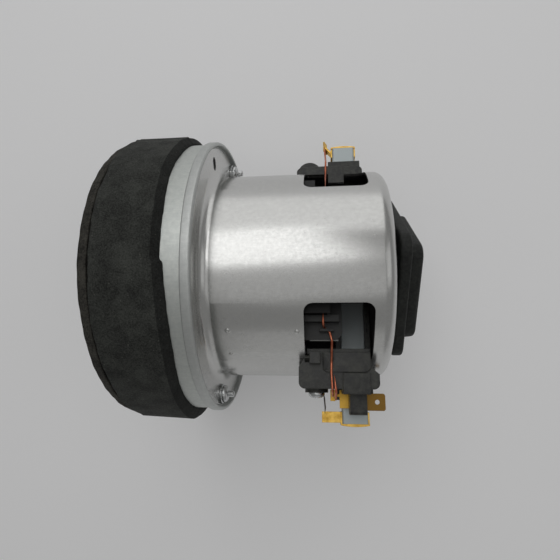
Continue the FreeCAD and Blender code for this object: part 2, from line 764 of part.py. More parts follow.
def upper_cap():
    """Upper clip with a strap bent out from its corner to the tab that takes the field lead."""
    a = -tube_half_x - cap_wall
    s1 = tube_s1
    x = upper_tab_x
    w = cap_wall
    outline = [(a + 0.1, s1 - 0.3), (a + 0.1, s1 - 1.3), (a - 0.2, s1 - 1.2), (x, s1 + 1.5), (x, s1 + 2.6)]
    points = [V(px, -strap_half_t, ps) for px, ps in outline + outline[:1]]
    strap = Part.Face(Part.makePolygon(points)).extrude(V(0, 2 * strap_half_t, 0))
    tab = block(x - w / 2, x + w / 2, -tab_half_t, tab_half_t, s1 + 0.2, s1 + 5.2)
    tab.rotate(V(x, 0, 0), V(0, 0, 1), -tab_turn)
    return fuse_all([end_cap(), strap, tab])


def terminal():
    """Brass terminal strip under the arm: a 6.3 mm spade on one end and the lead's hook tab on the other."""
    t0 = terminal_t
    t1 = terminal_t + terminal_wall
    s0 = spade_s0
    spade = block(spade_x0, spade_x1, t0, t1, s0, s0 + spade_width)
    spade = rounded(spade, 0.9, lambda m, e: upright(e, V(0, 1, 0)) and m.x > spade_x1 - 0.1)
    eye = Part.makeCylinder(spade_hole_r, 4, V(spade_x1 - 3.0, t0 - 1, s0 + spade_width / 2), V(0, 1, 0))
    strip = block(strip_x0, spade_x0 + 0.2, t0, t1, s0 - 1.1, s0 + 5.6)
    tab = block(tab_x0, strip_x0 + 0.2, t0, t1, s0 + 0.4, s0 + 1.4)
    hook = block(tab_x0, tab_x0 + 1.9, t0, t1, s0 - 1.2, s0 + 3.0)
    return fuse_all([spade.cut(eye), strip, tab, hook])


def holder_screw():
    """Pan-head screw of one holder."""
    at = V(holder_screw_x, holder_screw_t, holder_s1 + boss_height)
    return Part.makeCylinder(holder_screw_r, 2.1, at, V(0, 0, 1))


def lower_lead():
    """Bare copper lead from the near field coil, over the frame's wing and the holder, hooked on the tab."""
    r = lead_r
    wing_p = coil_p0 + r + 0.15
    rim_p = coil_p0 + frame_rim + frame_wall + r + 0.15
    face_t = holder_t1 + r + 0.25
    back_t = terminal_t + terminal_wall + r
    clip_q = frame_q + frame_rim
    path = [
        (-11.9, rim_p, coil_q + 0.4), (-11.9, rim_p, clip_q + 0.6), (-11.6, wing_p, clip_q + 1.9),
        (-9.6, wing_p, clip_q + 2.9), (-8.8, wing_p, frame_wing_q + 0.3), (-9.1, face_t, can_r - 4.4),
        (-9.2, face_t + 0.9, can_r + 5.6), (-8.3, back_t, spade_s0 + 1.6)]
    return wire_rod(path, r, lead_bend)


def upper_lead():
    """Bare copper lead from inside the can, through the window and up to the upper clip's tab."""
    top = tube_s1 - upper_seat
    path = [
        (-8.8, -33.5, 23.5), (-8.4, skirt_t - 1.9, can_r - 4.4), (-8.2, skirt_t - 0.9, can_r + 2.0),
        (-8.1, -9.4, can_r + 8.0), (-8.2, -3.2, top - 2.8), (-8.3, -tab_half_t - lead_r - 0.05, top + 2.6)]
    return wire_rod(path, lead_r, lead_bend)


def link_wire():
    """Thin link from the holder's screw boss to the lower clip's plate."""
    plate_t = 1.4 + cap_wall + link_r
    return wire_rod([
        (-11.9, 10.7, holder_s1 + boss_height), (-11.7, 9.8, holder_s1 + 3.7), (-11.4, 4.4, tube_s1 - 5.8),
        (-11.6, plate_t, tube_s1 - 3.2)], link_r, 0.8)


def rounded_square(side, corner, x0, x1):
    """Rounded square prism about the shaft."""
    h = side / 2
    prism = block(x0, x1, -h, h, -h, h)
    return rounded(prism, corner, lambda m, e: upright(e, X_AXIS))


def rear_mount():
    """Stepped rubber block pushed over the can's rear bearing pocket."""
    wide = rounded_square(mount_inner_side, mount_inner_corner_r, mount_front_x, mount_step_x)
    wide = bevelled(wide, 0.8, lambda m, e: m.x > mount_step_x - 0.01)
    narrow = rounded_square(mount_outer_side, mount_outer_corner_r, mount_step_x - 1, mount_rear_x)
    narrow = bevelled(narrow, 1.4, lambda m, e: m.x > mount_rear_x - 0.01)
    hub = rod(can_rear_x + can_rear_dish, mount_front_x + 1, mount_hub_r)
    body = fuse_all([wide, narrow, hub])
    body = body.cut(rod(can_rear_x - 5, pocket_end_x, pocket_r))
    body = body.cut(rod(pocket_end_x - 1, mount_rear_x + 1, mount_hole_r))
    return turn(body, mount_deg)


def build():
    """Every node's shape by name."""
    nodes = {
        "front_seal_ring": front_seal_ring(),
        "seal_band": seal_band(),
        "fan_shroud": fan_shroud(),
        "guide_vanes": guide_vanes(),
        "bearing_bracket": bearing_bracket(),
        "motor_can": motor_can(),
        "flange_screws": flange_screws(),
        "stator_core": stator_core(),
        "coil_frame_near": coil_frame(0),
        "coil_frame_far": coil_frame(180),
        "field_coil_near": field_coil(0),
        "field_coil_far": field_coil(180),
        "front_bearing_outer": bearing_outer(front_bearing_x),
        "rear_bearing_outer": bearing_outer(rear_bearing_x),
        "rear_mount": rear_mount(),
        "shaft": shaft(),
        "impeller": impeller(),
        "clamp_washers": clamp_washers(),
        "fan_nut": fan_nut(),
        "spacer_sleeve": spacer_sleeve(),
        "front_bearing_inner": bearing_inner(front_bearing_x),
        "rear_bearing_inner": bearing_inner(rear_bearing_x),
        "armature_core": armature_core(),
        "armature_winding": armature_winding(),
        "insulating_sleeves": insulating_sleeves(),
        "commutator": commutator(),
        "lower_cap": place_gear(lower_cap(), False),
        "upper_cap": place_gear(seated(upper_cap()), True),
        "lower_terminal": place_gear(terminal(), False),
        "lower_lead": place_gear(lower_lead(), False),
        "upper_lead": place_gear(upper_lead(), True),
        "link_wire": place_gear(link_wire(), False),
        "lower_tube": place_gear(brush_tube(), False),
        "upper_tube": place_gear(seated(brush_tube()), True),
        "lower_spring": place_gear(brush_spring(0), False),
        "upper_spring": place_gear(brush_spring(upper_seat), True),
    }
    for name, make in (("holder", brush_holder), ("brush", carbon_brush), ("screw", holder_screw)):
        shape = make()
        nodes["lower_" + name] = place_gear(shape, False)
        nodes["upper_" + name] = place_gear(shape, True)
    return nodes


os.makedirs("parts", exist_ok=True)
for node, shape in build().items():
    shape.exportStep("parts/" + node + ".step")
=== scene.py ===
# %% [markdown]
# A vacuum cleaner motor lying on its side: a drawn metal can, a fan shroud with black rubber round it,
# two sets of brush gear and a rubber block on the rear. The CAD model is loaded first and stays fixed.
# Everything below dresses it, in metres: +X runs along the shaft to the rear and +Z is up.

# %% Load the CAD frame
import math

import bmesh
import bpy
import numpy as np
from mathutils import Matrix, Vector


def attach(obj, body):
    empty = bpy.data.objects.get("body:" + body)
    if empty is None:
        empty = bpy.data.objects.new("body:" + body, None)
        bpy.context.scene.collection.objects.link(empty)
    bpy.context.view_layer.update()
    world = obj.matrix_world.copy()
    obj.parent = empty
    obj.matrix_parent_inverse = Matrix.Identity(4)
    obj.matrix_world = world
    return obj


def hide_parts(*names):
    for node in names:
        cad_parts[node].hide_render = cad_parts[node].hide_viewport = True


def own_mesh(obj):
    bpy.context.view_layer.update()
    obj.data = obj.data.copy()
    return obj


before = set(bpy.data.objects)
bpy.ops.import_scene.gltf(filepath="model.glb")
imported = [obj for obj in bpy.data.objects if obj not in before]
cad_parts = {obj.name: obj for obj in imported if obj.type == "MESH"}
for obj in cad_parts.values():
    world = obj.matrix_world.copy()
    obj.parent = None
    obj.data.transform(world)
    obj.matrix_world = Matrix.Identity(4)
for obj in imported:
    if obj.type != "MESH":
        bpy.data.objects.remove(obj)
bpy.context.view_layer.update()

# %% [markdown]
# Sizes that several pieces share are in millimetres. Angles go round the shaft in degrees, with 0 up and
# 90 towards +Y. Each set of brush gear has its own angle and place along the shaft.

# %% Shared sizes
MM = 0.001
CAN_R = 42.5
CAN_WALL = 1.0
CAN_REAR_X = 100.9
SHROUD_R = 55.5
FLANGE_X = 34.4
FLANGE_SCREW_R = 50.0
GEAR = {"lower": (-75.0, 88.2), "upper": (105.0, 86.6)}
COIL_DEG = 15.0
FLOOR_Z = -58.8
print("diameters of can and shroud:", 2 * CAN_R, 2 * SHROUD_R, "mm")

# %% [markdown]
# The photograph was taken from close above, so the lens is short and the can's sides fall away fast.
# The camera's place and axes were fitted to the circles of the shroud, the flange and the can. Its
# focal length came out as 400 pixels of 560, which is 25.7 mm on a sensor of 36 mm.

# %% Camera
camera = bpy.data.objects.new("camera", bpy.data.cameras.new("camera"))
bpy.context.collection.objects.link(camera)
camera.data.lens = 25.714
camera.data.sensor_width = 36.0
camera.data.clip_start = 0.005
right = Vector((0.99487, -0.01309, -0.10035))
up = Vector((0.01302, 0.99991, -0.00131))
back = Vector((0.10036, 0.0, 0.99495))
axes = Matrix((right, up, back)).transposed().to_4x4()
camera_place = Vector((75.56, -1.87, 174.32)) * MM
camera.matrix_world = Matrix.Translation(camera_place) @ axes
bpy.context.scene.camera = camera
bpy.context.scene.view_settings.view_transform = "Standard"
print("camera height:", round(camera_place.z, 3), "m")


# %% [markdown]
# Finishes are known by hex colours, which are sRGB. The shader works with linear light, so one function
# turns them. Another adds a node with its settings and links, so a material is a short list of nodes.

# %% Colour and node helpers
def linear(hex_colour):
    """sRGB hex to linear RGBA: c/12.92 below 0.04045, else ((c + 0.055) / 1.055) to the power 2.4."""
    c = np.array([int(hex_colour[i:i + 2], 16) for i in (1, 3, 5)]) / 255
    low = c / 12.92
    high = ((c + 0.055) / 1.055) ** 2.4
    return (*np.where(c <= 0.04045, low, high).tolist(), 1.0)


def add(tree, kind, settings=None, links=None):
    """Add one node: settings go to its properties or input sockets, links join sockets to inputs."""
    node = tree.nodes.new(kind)
    for key, value in (settings or {}).items():
        if isinstance(key, str) and hasattr(node, key):
            setattr(node, key, value)
        else:
            node.inputs[key].default_value = value
    for key, socket in (links or {}).items():
        tree.links.new(socket, node.inputs[key])
    return node


def new_material(name):
    """A material with an empty node tree, and the Object coordinates that its patterns read."""
    material = bpy.data.materials.new(name)
    material.use_nodes = True
    tree = material.node_tree
    tree.nodes.clear()
    return material, tree, add(tree, "ShaderNodeTexCoord").outputs["Object"]


def shade(tree, constants, links):
    """The material's one shader: constants on its own sockets, patterns linked, joined to the output."""
    shader = add(tree, "ShaderNodeBsdfPrincipled", constants, links)
    add(tree, "ShaderNodeOutputMaterial", None, {"Surface": shader.outputs["BSDF"]})


# %% [markdown]
# Closed-cell rubber is matt, nearly black and a little grey where light grazes it. Its skin is mottled
# in patches of a few millimetres, with a fine grain and pale specks of dust. A pattern's scale
# counts cycles in a metre, so 150 gives patches of 6.7 mm and 420 gives specks 2.4 mm apart.

# %% Rubber and foam
def rubber(name, colour, worn, grain_mm, rough, dust=0.35):
    """Matt rubber: a coarse noise for the mottle, a fine one for the grain, sparse pale specks."""
    material, tree, where = new_material(name)
    grain = add(tree, "ShaderNodeTexNoise", {"Scale": 1000 / grain_mm, "Detail": 6.0, "Roughness": 0.7},
                {"Vector": where})
    patch = add(tree, "ShaderNodeTexNoise", {"Scale": 150.0, "Detail": 7.0, "Roughness": 0.62,
                "Distortion": 0.4}, {"Vector": where})
    both = add(tree, "ShaderNodeMath", {"operation": "MULTIPLY_ADD", 1: 0.6},
               {0: patch.outputs[0], 2: grain.outputs[0]})
    share = add(tree, "ShaderNodeMapRange", {"From Min": 0.66, "From Max": 0.97}, {"Value": both.outputs[0]})
    base = add(tree, "ShaderNodeMix", {"data_type": "RGBA", 6: linear(colour), 7: linear(worn)},
               {0: share.outputs[0]})
    specks = add(tree, "ShaderNodeTexVoronoi", {"Scale": 420.0, "Randomness": 1.0}, {"Vector": where})
    near = add(tree, "ShaderNodeMapRange", {"From Min": 0.05, "From Max": 0.12, "To Min": dust,
               "To Max": 0.0}, {"Value": specks.outputs["Distance"]})
    dusty = add(tree, "ShaderNodeMix", {"data_type": "RGBA", 7: linear("#75766f")},
                {0: near.outputs[0], 6: base.outputs[2]})
    edge = add(tree, "ShaderNodeBevel", {"samples": 6, "Radius": 0.0005})
    bump = add(tree, "ShaderNodeBump", {"Strength": 0.5, "Distance": 0.0006},
               {"Height": both.outputs[0], "Normal": edge.outputs[0]})
    shade(tree, {"Roughness": rough, "Specular IOR Level": 0.3},
          {"Base Color": dusty.outputs[2], "Normal": bump.outputs[0]})
    return material


# Cut sheet is mottled and foam is rougher. The strip's cut rear face is darker, partly a fresh cut and
# partly painted shade. Moulded rubber is even, with a low shine.
band_rubber = rubber("closed_cell_rubber", "#1d1e1c", "#454743", 0.5, 0.8)
foam_rubber = rubber("seal_foam_rubber", "#1f1e1b", "#4a4842", 0.7, 0.92, 0.2)
cut_shaded_rubber = rubber("shaded_cut_rubber_edge", "#161715", "#30312f", 0.6, 0.85, 0.2)
mount_rubber = rubber("moulded_nitrile_rubber", "#191a19", "#2f312e", 1.2, 0.58, 0.1)
seam_glue = rubber("black_contact_glue", "#070707", "#161615", 0.4, 0.7, 0.0)
print("rubbers:", [k.name for k in (band_rubber, foam_rubber, cut_shaded_rubber, mount_rubber, seam_glue)])


# %% [markdown]
# The can and the shroud are drawn sheet metal. The die drags along the wall, so the fine lines run
# along the shaft: the noise is 5 mm long in X and a fraction of a millimetre across it. A cloudy noise
# of 1.4 mm moves the roughness a little, as handling does. Lift is the relief's height in metres.

# %% Drawn metals
def drawn_metal(name, colour, shade_colour, rough, line_mm=0.3, lift=0.00002, streak=1.0, metallic=1.0):
    """Sheet metal: draw lines along X, 5 mm long and line_mm wide, weighed by streak, plus a soft cloud."""
    material, tree, where = new_material(name)
    squeeze = add(tree, "ShaderNodeMapping", {"Scale": (200.0, 1000 / line_mm, 1000 / line_mm)},
                  {"Vector": where})
    lines = add(tree, "ShaderNodeTexNoise", {"Scale": 1.0, "Detail": 4.0, "Roughness": 0.6},
                {"Vector": squeeze.outputs[0]})
    cloud = add(tree, "ShaderNodeTexNoise", {"Scale": 700.0, "Detail": 6.0, "Roughness": 0.7},
                {"Vector": where})
    both = add(tree, "ShaderNodeMath", {"operation": "MULTIPLY_ADD", 1: streak},
               {0: lines.outputs[0], 2: cloud.outputs[0]})
    middle = 0.5 + 0.5 * streak
    share = add(tree, "ShaderNodeMapRange", {"From Min": middle - 0.2, "From Max": middle + 0.2},
                {"Value": both.outputs[0]})
    base = add(tree, "ShaderNodeMix", {"data_type": "RGBA", 6: linear(shade_colour), 7: linear(colour)},
               {0: share.outputs[0]})
    sheen = add(tree, "ShaderNodeMapRange", {"To Min": rough + 0.04, "To Max": rough - 0.03},
                {"Value": share.outputs[0]})
    edge = add(tree, "ShaderNodeBevel", {"samples": 6, "Radius": 0.0003})
    bump = add(tree, "ShaderNodeBump", {"Distance": lift},
               {"Height": both.outputs[0], "Normal": edge.outputs[0]})
    shade(tree, {"Metallic": metallic},
          {"Base Color": base.outputs[2], "Roughness": sheen.outputs[0], "Normal": bump.outputs[0]})
    return material


# The deep drawn wall is satin, with a bright band where it faces a lamp. Its rolled edge is duller, and
# its inside is dark with carbon dust and painted shade. Zinc plate is pale and flat on the shroud, bright
# on screws. Die-cast metal is dull, with a coarse grain.
can_metal = drawn_metal("deep_drawn_aluminium", "#d4d4d2", "#cacac8", 0.24, 0.3, 0.000006, 0.4)
rolled_metal = drawn_metal("rolled_aluminium_edge", "#cbcdcb", "#bfc2c0", 0.5, 0.5, 0.000008, 0.4)
# Painted shade, partly carbon dust: this darker finish goes on the can's inner walls.
sooty_shaded_metal = drawn_metal("carbon_dust_and_painted_shade_aluminium", "#454443", "#272625", 0.65, 0.6, 0.00002, 0.5, 0.6)
shroud_metal = drawn_metal("zinc_plated_drawn_steel", "#d0d3cf", "#c3c7c4", 0.5, 0.6, 0.000006, 0.5)
screw_metal = drawn_metal("bright_zinc_plated_steel", "#dfe0e0", "#b0b2b3", 0.2, 0.3)
steel_metal = drawn_metal("ground_bearing_steel", "#c9cacc", "#b0b2b6", 0.2, 0.2, 0.00001)
fan_metal = drawn_metal("pressed_aluminium_sheet", "#d3d4d6", "#b9babd", 0.38, 0.5)
bracket_metal = drawn_metal("die_cast_aluminium", "#a9abad", "#8c8e90", 0.5, 1.2)
print("materials up to the sheet metals:", len(bpy.data.materials))


# %% [markdown]
# The brush tubes are tinned steel and the coil frames are dark plastic. The brushes shed carbon, and
# the tubes deep inside the can and the outer walls of the frames are darkened, partly as that soot and
# partly as painted shade. Both tubes lie on one line through the shaft, 75 degrees from the vertical,
# and both frames on another, 15 degrees from it. The distance along such a line tells how far in a
# point is.

# %% Sooted and shaded pieces
def sooted_and_shaded(name, colour, sooty_shade_colour, rough, metallic, degrees, sooty_shade_mm, clean_mm):
    """Blend from soot and painted shade at one distance to clean at the other, by |y sin a + z cos a| along a
    line.
    """
    material, tree, where = new_material(name)
    a = math.radians(degrees)
    line = (0.0, math.sin(a), math.cos(a))
    along = add(tree, "ShaderNodeVectorMath", {"operation": "DOT_PRODUCT", 1: line}, {0: where})
    far = add(tree, "ShaderNodeMath", {"operation": "ABSOLUTE"}, {0: along.outputs["Value"]})
    cloud = add(tree, "ShaderNodeTexNoise", {"Scale": 300.0, "Detail": 5.0, "Roughness": 0.6},
                {"Vector": where})
    reach = abs(clean_mm - sooty_shade_mm) * 0.4 * MM
    ragged = add(tree, "ShaderNodeMath", {"operation": "MULTIPLY_ADD", 1: reach},
                 {0: cloud.outputs[0], 2: far.outputs[0]})
    clean = add(tree, "ShaderNodeMapRange", {"From Min": sooty_shade_mm * MM + reach / 2,
                "From Max": clean_mm * MM + reach / 2}, {"Value": ragged.outputs[0]})
    base = add(tree, "ShaderNodeMix", {"data_type": "RGBA", 6: linear(sooty_shade_colour), 7: linear(colour)},
               {0: clean.outputs[0]})
    sheen = add(tree, "ShaderNodeMapRange", {"To Min": rough + 0.2, "To Max": rough},
                {"Value": clean.outputs[0]})
    edge = add(tree, "ShaderNodeBevel", {"samples": 6, "Radius": 0.0003})
    shade(tree, {"Metallic": metallic},
          {"Base Color": base.outputs[2], "Roughness": sheen.outputs[0], "Normal": edge.outputs[0]})
    return material


# Painted shade, partly soot: the tube darkens deep inside the can, and the frames on their outer walls.
tube_metal = sooted_and_shaded("tinned_steel_tube", "#b4bcbd", "#a2a8a9", 0.42, 0.5, GEAR["lower"][0], 20.0, 43.0)
frame_plastic = sooted_and_shaded("glass_filled_nylon", "#1a1a19", "#060606", 0.55, 0.0, COIL_DEG, 32.2, 31.2)
print("sooted:", tube_metal.name, frame_plastic.name)


# %% [markdown]
# Brass and copper darken where they are touched and heated. Clouds of 2.4 mm mix the clean metal with
# the tarnished one. Enamelled wire is copper under a varnish, the coat, and lies in turns, the waves.
# Blender's wave is 0.314 / scale long, so one covers six turns: single ones would be too fine to show.

# %% Brass, copper and enamel
def yellow_metal(name, clean, tarnished, rough, share=0.5):
    """Tarnished metal: a noise moves the colour from clean to tarnished and the roughness up."""
    material, tree, where = new_material(name)
    cloud = add(tree, "ShaderNodeTexNoise", {"Scale": 420.0, "Detail": 6.0, "Roughness": 0.65},
                {"Vector": where})
    part = add(tree, "ShaderNodeMapRange", {"From Min": share - 0.15, "From Max": share + 0.15},
               {"Value": cloud.outputs[0]})
    base = add(tree, "ShaderNodeMix", {"data_type": "RGBA", 6: linear(tarnished), 7: linear(clean)},
               {0: part.outputs[0]})
    sheen = add(tree, "ShaderNodeMapRange", {"To Min": rough + 0.15, "To Max": rough},
                {"Value": part.outputs[0]})
    edge = add(tree, "ShaderNodeBevel", {"samples": 6, "Radius": 0.00015})
    bump = add(tree, "ShaderNodeBump", {"Distance": 0.00003},
               {"Height": cloud.outputs[0], "Normal": edge.outputs[0]})
    shade(tree, {"Metallic": 1.0},
          {"Base Color": base.outputs[2], "Roughness": sheen.outputs[0], "Normal": bump.outputs[0]})
    return material


def heated_brass(name, clean, browned, from_x_mm, to_x_mm, rough):
    """Brass that has browned along X, from the strip to the spade's tip, with cloudy tarnish on it."""
    material, tree, where = new_material(name)
    cloud = add(tree, "ShaderNodeTexNoise", {"Scale": 420.0, "Detail": 6.0, "Roughness": 0.65},
                {"Vector": where})
    place = add(tree, "ShaderNodeSeparateXYZ", None, {0: where})
    reach = add(tree, "ShaderNodeMapRange", {"From Min": from_x_mm * MM, "From Max": to_x_mm * MM},
                {"Value": place.outputs["X"]})
    ragged = add(tree, "ShaderNodeMath", {"operation": "MULTIPLY_ADD", 1: 0.5, "use_clamp": True},
                 {0: cloud.outputs[0], 2: reach.outputs[0]})
    part = add(tree, "ShaderNodeMapRange", {"From Min": 0.2, "From Max": 1.1}, {"Value": ragged.outputs[0]})
    base = add(tree, "ShaderNodeMix", {"data_type": "RGBA", 6: linear(clean), 7: linear(browned)},
               {0: part.outputs[0]})
    edge = add(tree, "ShaderNodeBevel", {"samples": 6, "Radius": 0.00015})
    bump = add(tree, "ShaderNodeBump", {"Distance": 0.00003},
               {"Height": cloud.outputs[0], "Normal": edge.outputs[0]})
    shade(tree, {"Metallic": 1.0, "Roughness": rough},
          {"Base Color": base.outputs[2], "Normal": bump.outputs[0]})
    return material


def wound_wire(name, clean, dark, turns_mm):
    """Enamelled turns under a varnish: a wave turned to the coil, as long as six wires of turns_mm."""
    material, tree, where = new_material(name)
    flat = add(tree, "ShaderNodeMapping", {"Rotation": (math.radians(COIL_DEG), 0.0, 0.0)}, {"Vector": where})
    wires = add(tree, "ShaderNodeTexWave", {"bands_direction": "Z", "Scale": 50 / turns_mm,
                "Distortion": 0.6}, {"Vector": flat.outputs[0]})
    base = add(tree, "ShaderNodeMix", {"data_type": "RGBA", 6: linear(dark), 7: linear(clean)},
               {0: wires.outputs["Fac"]})
    bump = add(tree, "ShaderNodeBump", {"Distance": 0.00025}, {"Height": wires.outputs["Fac"]})
    shade(tree, {"Metallic": 1.0, "Roughness": 0.45, "Coat Weight": 0.6, "Coat Roughness": 0.2},
          {"Base Color": base.outputs[2], "Normal": bump.outputs[0]})
    return material


# Brass is a warm yellow under brown clouds, and browner still on the heated spade. Bare copper is a
# pink orange, worn bars are darker, and varnished turns are a deep glossy brown.
brass = yellow_metal("rolled_brass", "#fbd06c", "#cfa044", 0.38, 0.42)
tab_brass = heated_brass("spade_terminal_brass", "#e0b351", "#76592f", 87.5, 92.5, 0.4)
copper = yellow_metal("bare_copper_wire", "#d98466", "#a3543c", 0.36, 0.45)
bar_copper = yellow_metal("commutator_copper", "#b9714a", "#70432e", 0.32, 0.5)
enamel = wound_wire("enamelled_copper_wire", "#8d4526", "#4c2013", 0.7)
print("materials up to brass and copper:", len(bpy.data.materials))


# %% [markdown]
# The brush holders are black moulded plastic with a soft shine and a fine grain. Their edges are
# pale, partly rubbed and partly a painted highlight: where the rounded normal leaves the flat one, there
# is an edge. Grey carbon dust from the brushes lies on the flats. The cores are stacks of thin steel
# sheets, which show as lines.

# %% Moulded plastics, carbon and laminations
def moulded(name, colour, rough, dust="#30302d", edge_mm=0.45, rubbed_highlight_colour="#5b5c57"):
    """Moulded plastic: 3.3 mm clouds of dust, 0.4 mm grain, pale edges, rubbed and painted highlight, by the
    dot of two normals.
    """
    material, tree, where = new_material(name)
    cloud = add(tree, "ShaderNodeTexNoise", {"Scale": 300.0, "Detail": 8.0, "Roughness": 0.7},
                {"Vector": where})
    grain = add(tree, "ShaderNodeTexNoise", {"Scale": 2600.0, "Detail": 2.0}, {"Vector": where})
    part = add(tree, "ShaderNodeMapRange", {"From Min": 0.42, "From Max": 0.66}, {"Value": cloud.outputs[0]})
    base = add(tree, "ShaderNodeMix", {"data_type": "RGBA", 6: linear(colour), 7: linear(dust)},
               {0: part.outputs[0]})
    sheen = add(tree, "ShaderNodeMapRange", {"To Min": rough, "To Max": rough + 0.18},
                {"Value": part.outputs[0]})
    edge = add(tree, "ShaderNodeBevel", {"samples": 6, "Radius": edge_mm * MM})
    flat = add(tree, "ShaderNodeNewGeometry")
    along = add(tree, "ShaderNodeVectorMath", {"operation": "DOT_PRODUCT"},
                {0: edge.outputs[0], 1: flat.outputs["Normal"]})
    # Painted highlight, partly rubbing: edges turn pale where the rounded normal leaves the flat one.
    worn = add(tree, "ShaderNodeMapRange", {"From Min": 0.985, "From Max": 0.8, "To Max": 0.5},
               {"Value": along.outputs["Value"]})
    pale = add(tree, "ShaderNodeMix", {"data_type": "RGBA", 7: linear(rubbed_highlight_colour)},
               {0: worn.outputs[0], 6: base.outputs[2]})
    bump = add(tree, "ShaderNodeBump", {"Strength": 0.6, "Distance": 0.00004},
               {"Height": grain.outputs[0], "Normal": edge.outputs[0]})
    shade(tree, {}, {"Base Color": pale.outputs[2], "Roughness": sheen.outputs[0], "Normal": bump.outputs[0]})
    return material


def laminated(name, colour, gap, sheet_mm=0.5):
    """Stacked steel sheets: a wave along X, one line to six sheets, as single ones wouldn't show."""
    material, tree, where = new_material(name)
    wave = add(tree, "ShaderNodeTexWave", {"bands_direction": "X", "Scale": 50 / sheet_mm,
               "Distortion": 0.3}, {"Vector": where})
    part = add(tree, "ShaderNodeMapRange", {"From Min": 0.08, "From Max": 0.3},
               {"Value": wave.outputs["Fac"]})
    base = add(tree, "ShaderNodeMix", {"data_type": "RGBA", 6: linear(gap), 7: linear(colour)},
               {0: part.outputs[0]})
    bump = add(tree, "ShaderNodeBump", {"Distance": 0.00005}, {"Height": wave.outputs["Fac"]})
    shade(tree, {"Metallic": 0.9, "Roughness": 0.45},
          {"Base Color": base.outputs[2], "Normal": bump.outputs[0]})
    return material


# Phenolic is deep black with a shine, pressboard is brown and flat, graphite has a dull grey shine,
# and fish paper is plain grey.
# The last colour of the phenolic and the pressboard is their pale edge, partly rubbed, partly painted
# highlight.
holder_plastic = moulded("black_phenolic_moulding", "#0f100d", 0.34, "#42433d", 0.45, "#62635d")
vane_plastic = moulded("moulded_nylon_guide", "#2a2a2b", 0.45, "#454443")
sleeve_plastic = moulded("pressboard_sleeve", "#7d6a4c", 0.7, "#5c4d38", 0.3, "#8d7a5c")
carbon = moulded("graphite_brush", "#1f1f21", 0.5, "#303033", 0.3)
dark_wire = moulded("varnished_link_wire", "#2b211d", 0.4, "#3a2a24", 0.1)
slot_paper = moulded("grey_fish_paper", "#6f706e", 0.7, "#82837f", 0.1)
lamination = laminated("electrical_steel_stack", "#6f7073", "#1f1f20")
print("materials in all:", len(bpy.data.materials))


# %% [markdown]
# Every CAD node gets the finish of the real piece, also inside, where it shows only at a window or
# through the eye.

# %% Give every CAD node its finish
FINISHES = {
    foam_rubber: ["front_seal_ring"],
    band_rubber: ["seal_band"],
    mount_rubber: ["rear_mount"],
    shroud_metal: ["fan_shroud"],
    can_metal: ["motor_can"],
    tube_metal: ["lower_tube", "upper_tube"],
    screw_metal: ["flange_screws", "lower_screw", "upper_screw", "fan_nut", "clamp_washers",
                  "lower_spring", "upper_spring"],
    steel_metal: ["shaft", "spacer_sleeve", "front_bearing_outer", "rear_bearing_outer",
                  "front_bearing_inner", "rear_bearing_inner"],
    fan_metal: ["impeller"],
    bracket_metal: ["bearing_bracket"],
    brass: ["lower_cap", "upper_cap"],
    tab_brass: ["lower_terminal"],
    copper: ["lower_lead", "upper_lead"],
    enamel: ["field_coil_near", "field_coil_far", "armature_winding"],
    bar_copper: ["commutator"],
    holder_plastic: ["lower_holder", "upper_holder"],
    frame_plastic: ["coil_frame_near", "coil_frame_far"],
    vane_plastic: ["guide_vanes"],
    sleeve_plastic: ["insulating_sleeves"],
    carbon: ["lower_brush", "upper_brush"],
    dark_wire: ["link_wire"],
    lamination: ["stator_core", "armature_core"],
}
for finish, names in FINISHES.items():
    for node_name in names:
        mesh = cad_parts[node_name].data
        mesh.materials.clear()
        mesh.materials.append(finish)
print("finished nodes:", sum(len(names) for names in FINISHES.values()))


# %% [markdown]
# Every piece is a grid of points joined by quads, and rides on the body that it moves with. Outlines
# are given as corners with a radius each, and every corner becomes a short arc.

# %% Mesh helpers
def new_piece(name, points, quads, finish, body="housing", angle=35.0):
    """Make a mesh from points (n, 3) in mm and quads (m, 4).

    The signed volume of the quads about the piece's own middle says whether they must be turned."""
    p = np.asarray(points, float).reshape(-1, 3) * MM
    q = np.asarray(quads, int)
    a, b, c, d = (p[q[:, i]] - p.mean(0) for i in range(4))
    volume = (np.cross(a, b) * c).sum() + (np.cross(a, c) * d).sum()
    if volume < 0:
        q = q[:, ::-1]
    mesh = bpy.data.meshes.new(name)
    mesh.from_pydata(p.tolist(), [], q.tolist())
    mesh.validate()
    mesh.shade_smooth()
    mesh.set_sharp_from_angle(angle=math.radians(angle))
    mesh.materials.append(finish)
    piece = bpy.data.objects.new(name, mesh)
    bpy.context.collection.objects.link(piece)
    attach(piece, body)
    return piece


def grid_quads(rows, columns, wrap_rows=False):
    """Quads between neighbours of a grid: its columns go round, and its rows where asked."""
    i = np.arange(rows if wrap_rows else rows - 1)
    j = np.arange(columns)
    i, j = np.meshgrid(i, j, indexing="ij")
    i2 = (i + 1) % rows
    j2 = (j + 1) % columns
    corners = (i * columns + j, i2 * columns + j, i2 * columns + j2, i * columns + j2)
    return np.stack(corners, -1).reshape(-1, 4)


def unit(v):
    """Vectors along the last axis scaled to length one."""
    return v / (np.linalg.norm(v, axis=-1, keepdims=True) + 1e-12)


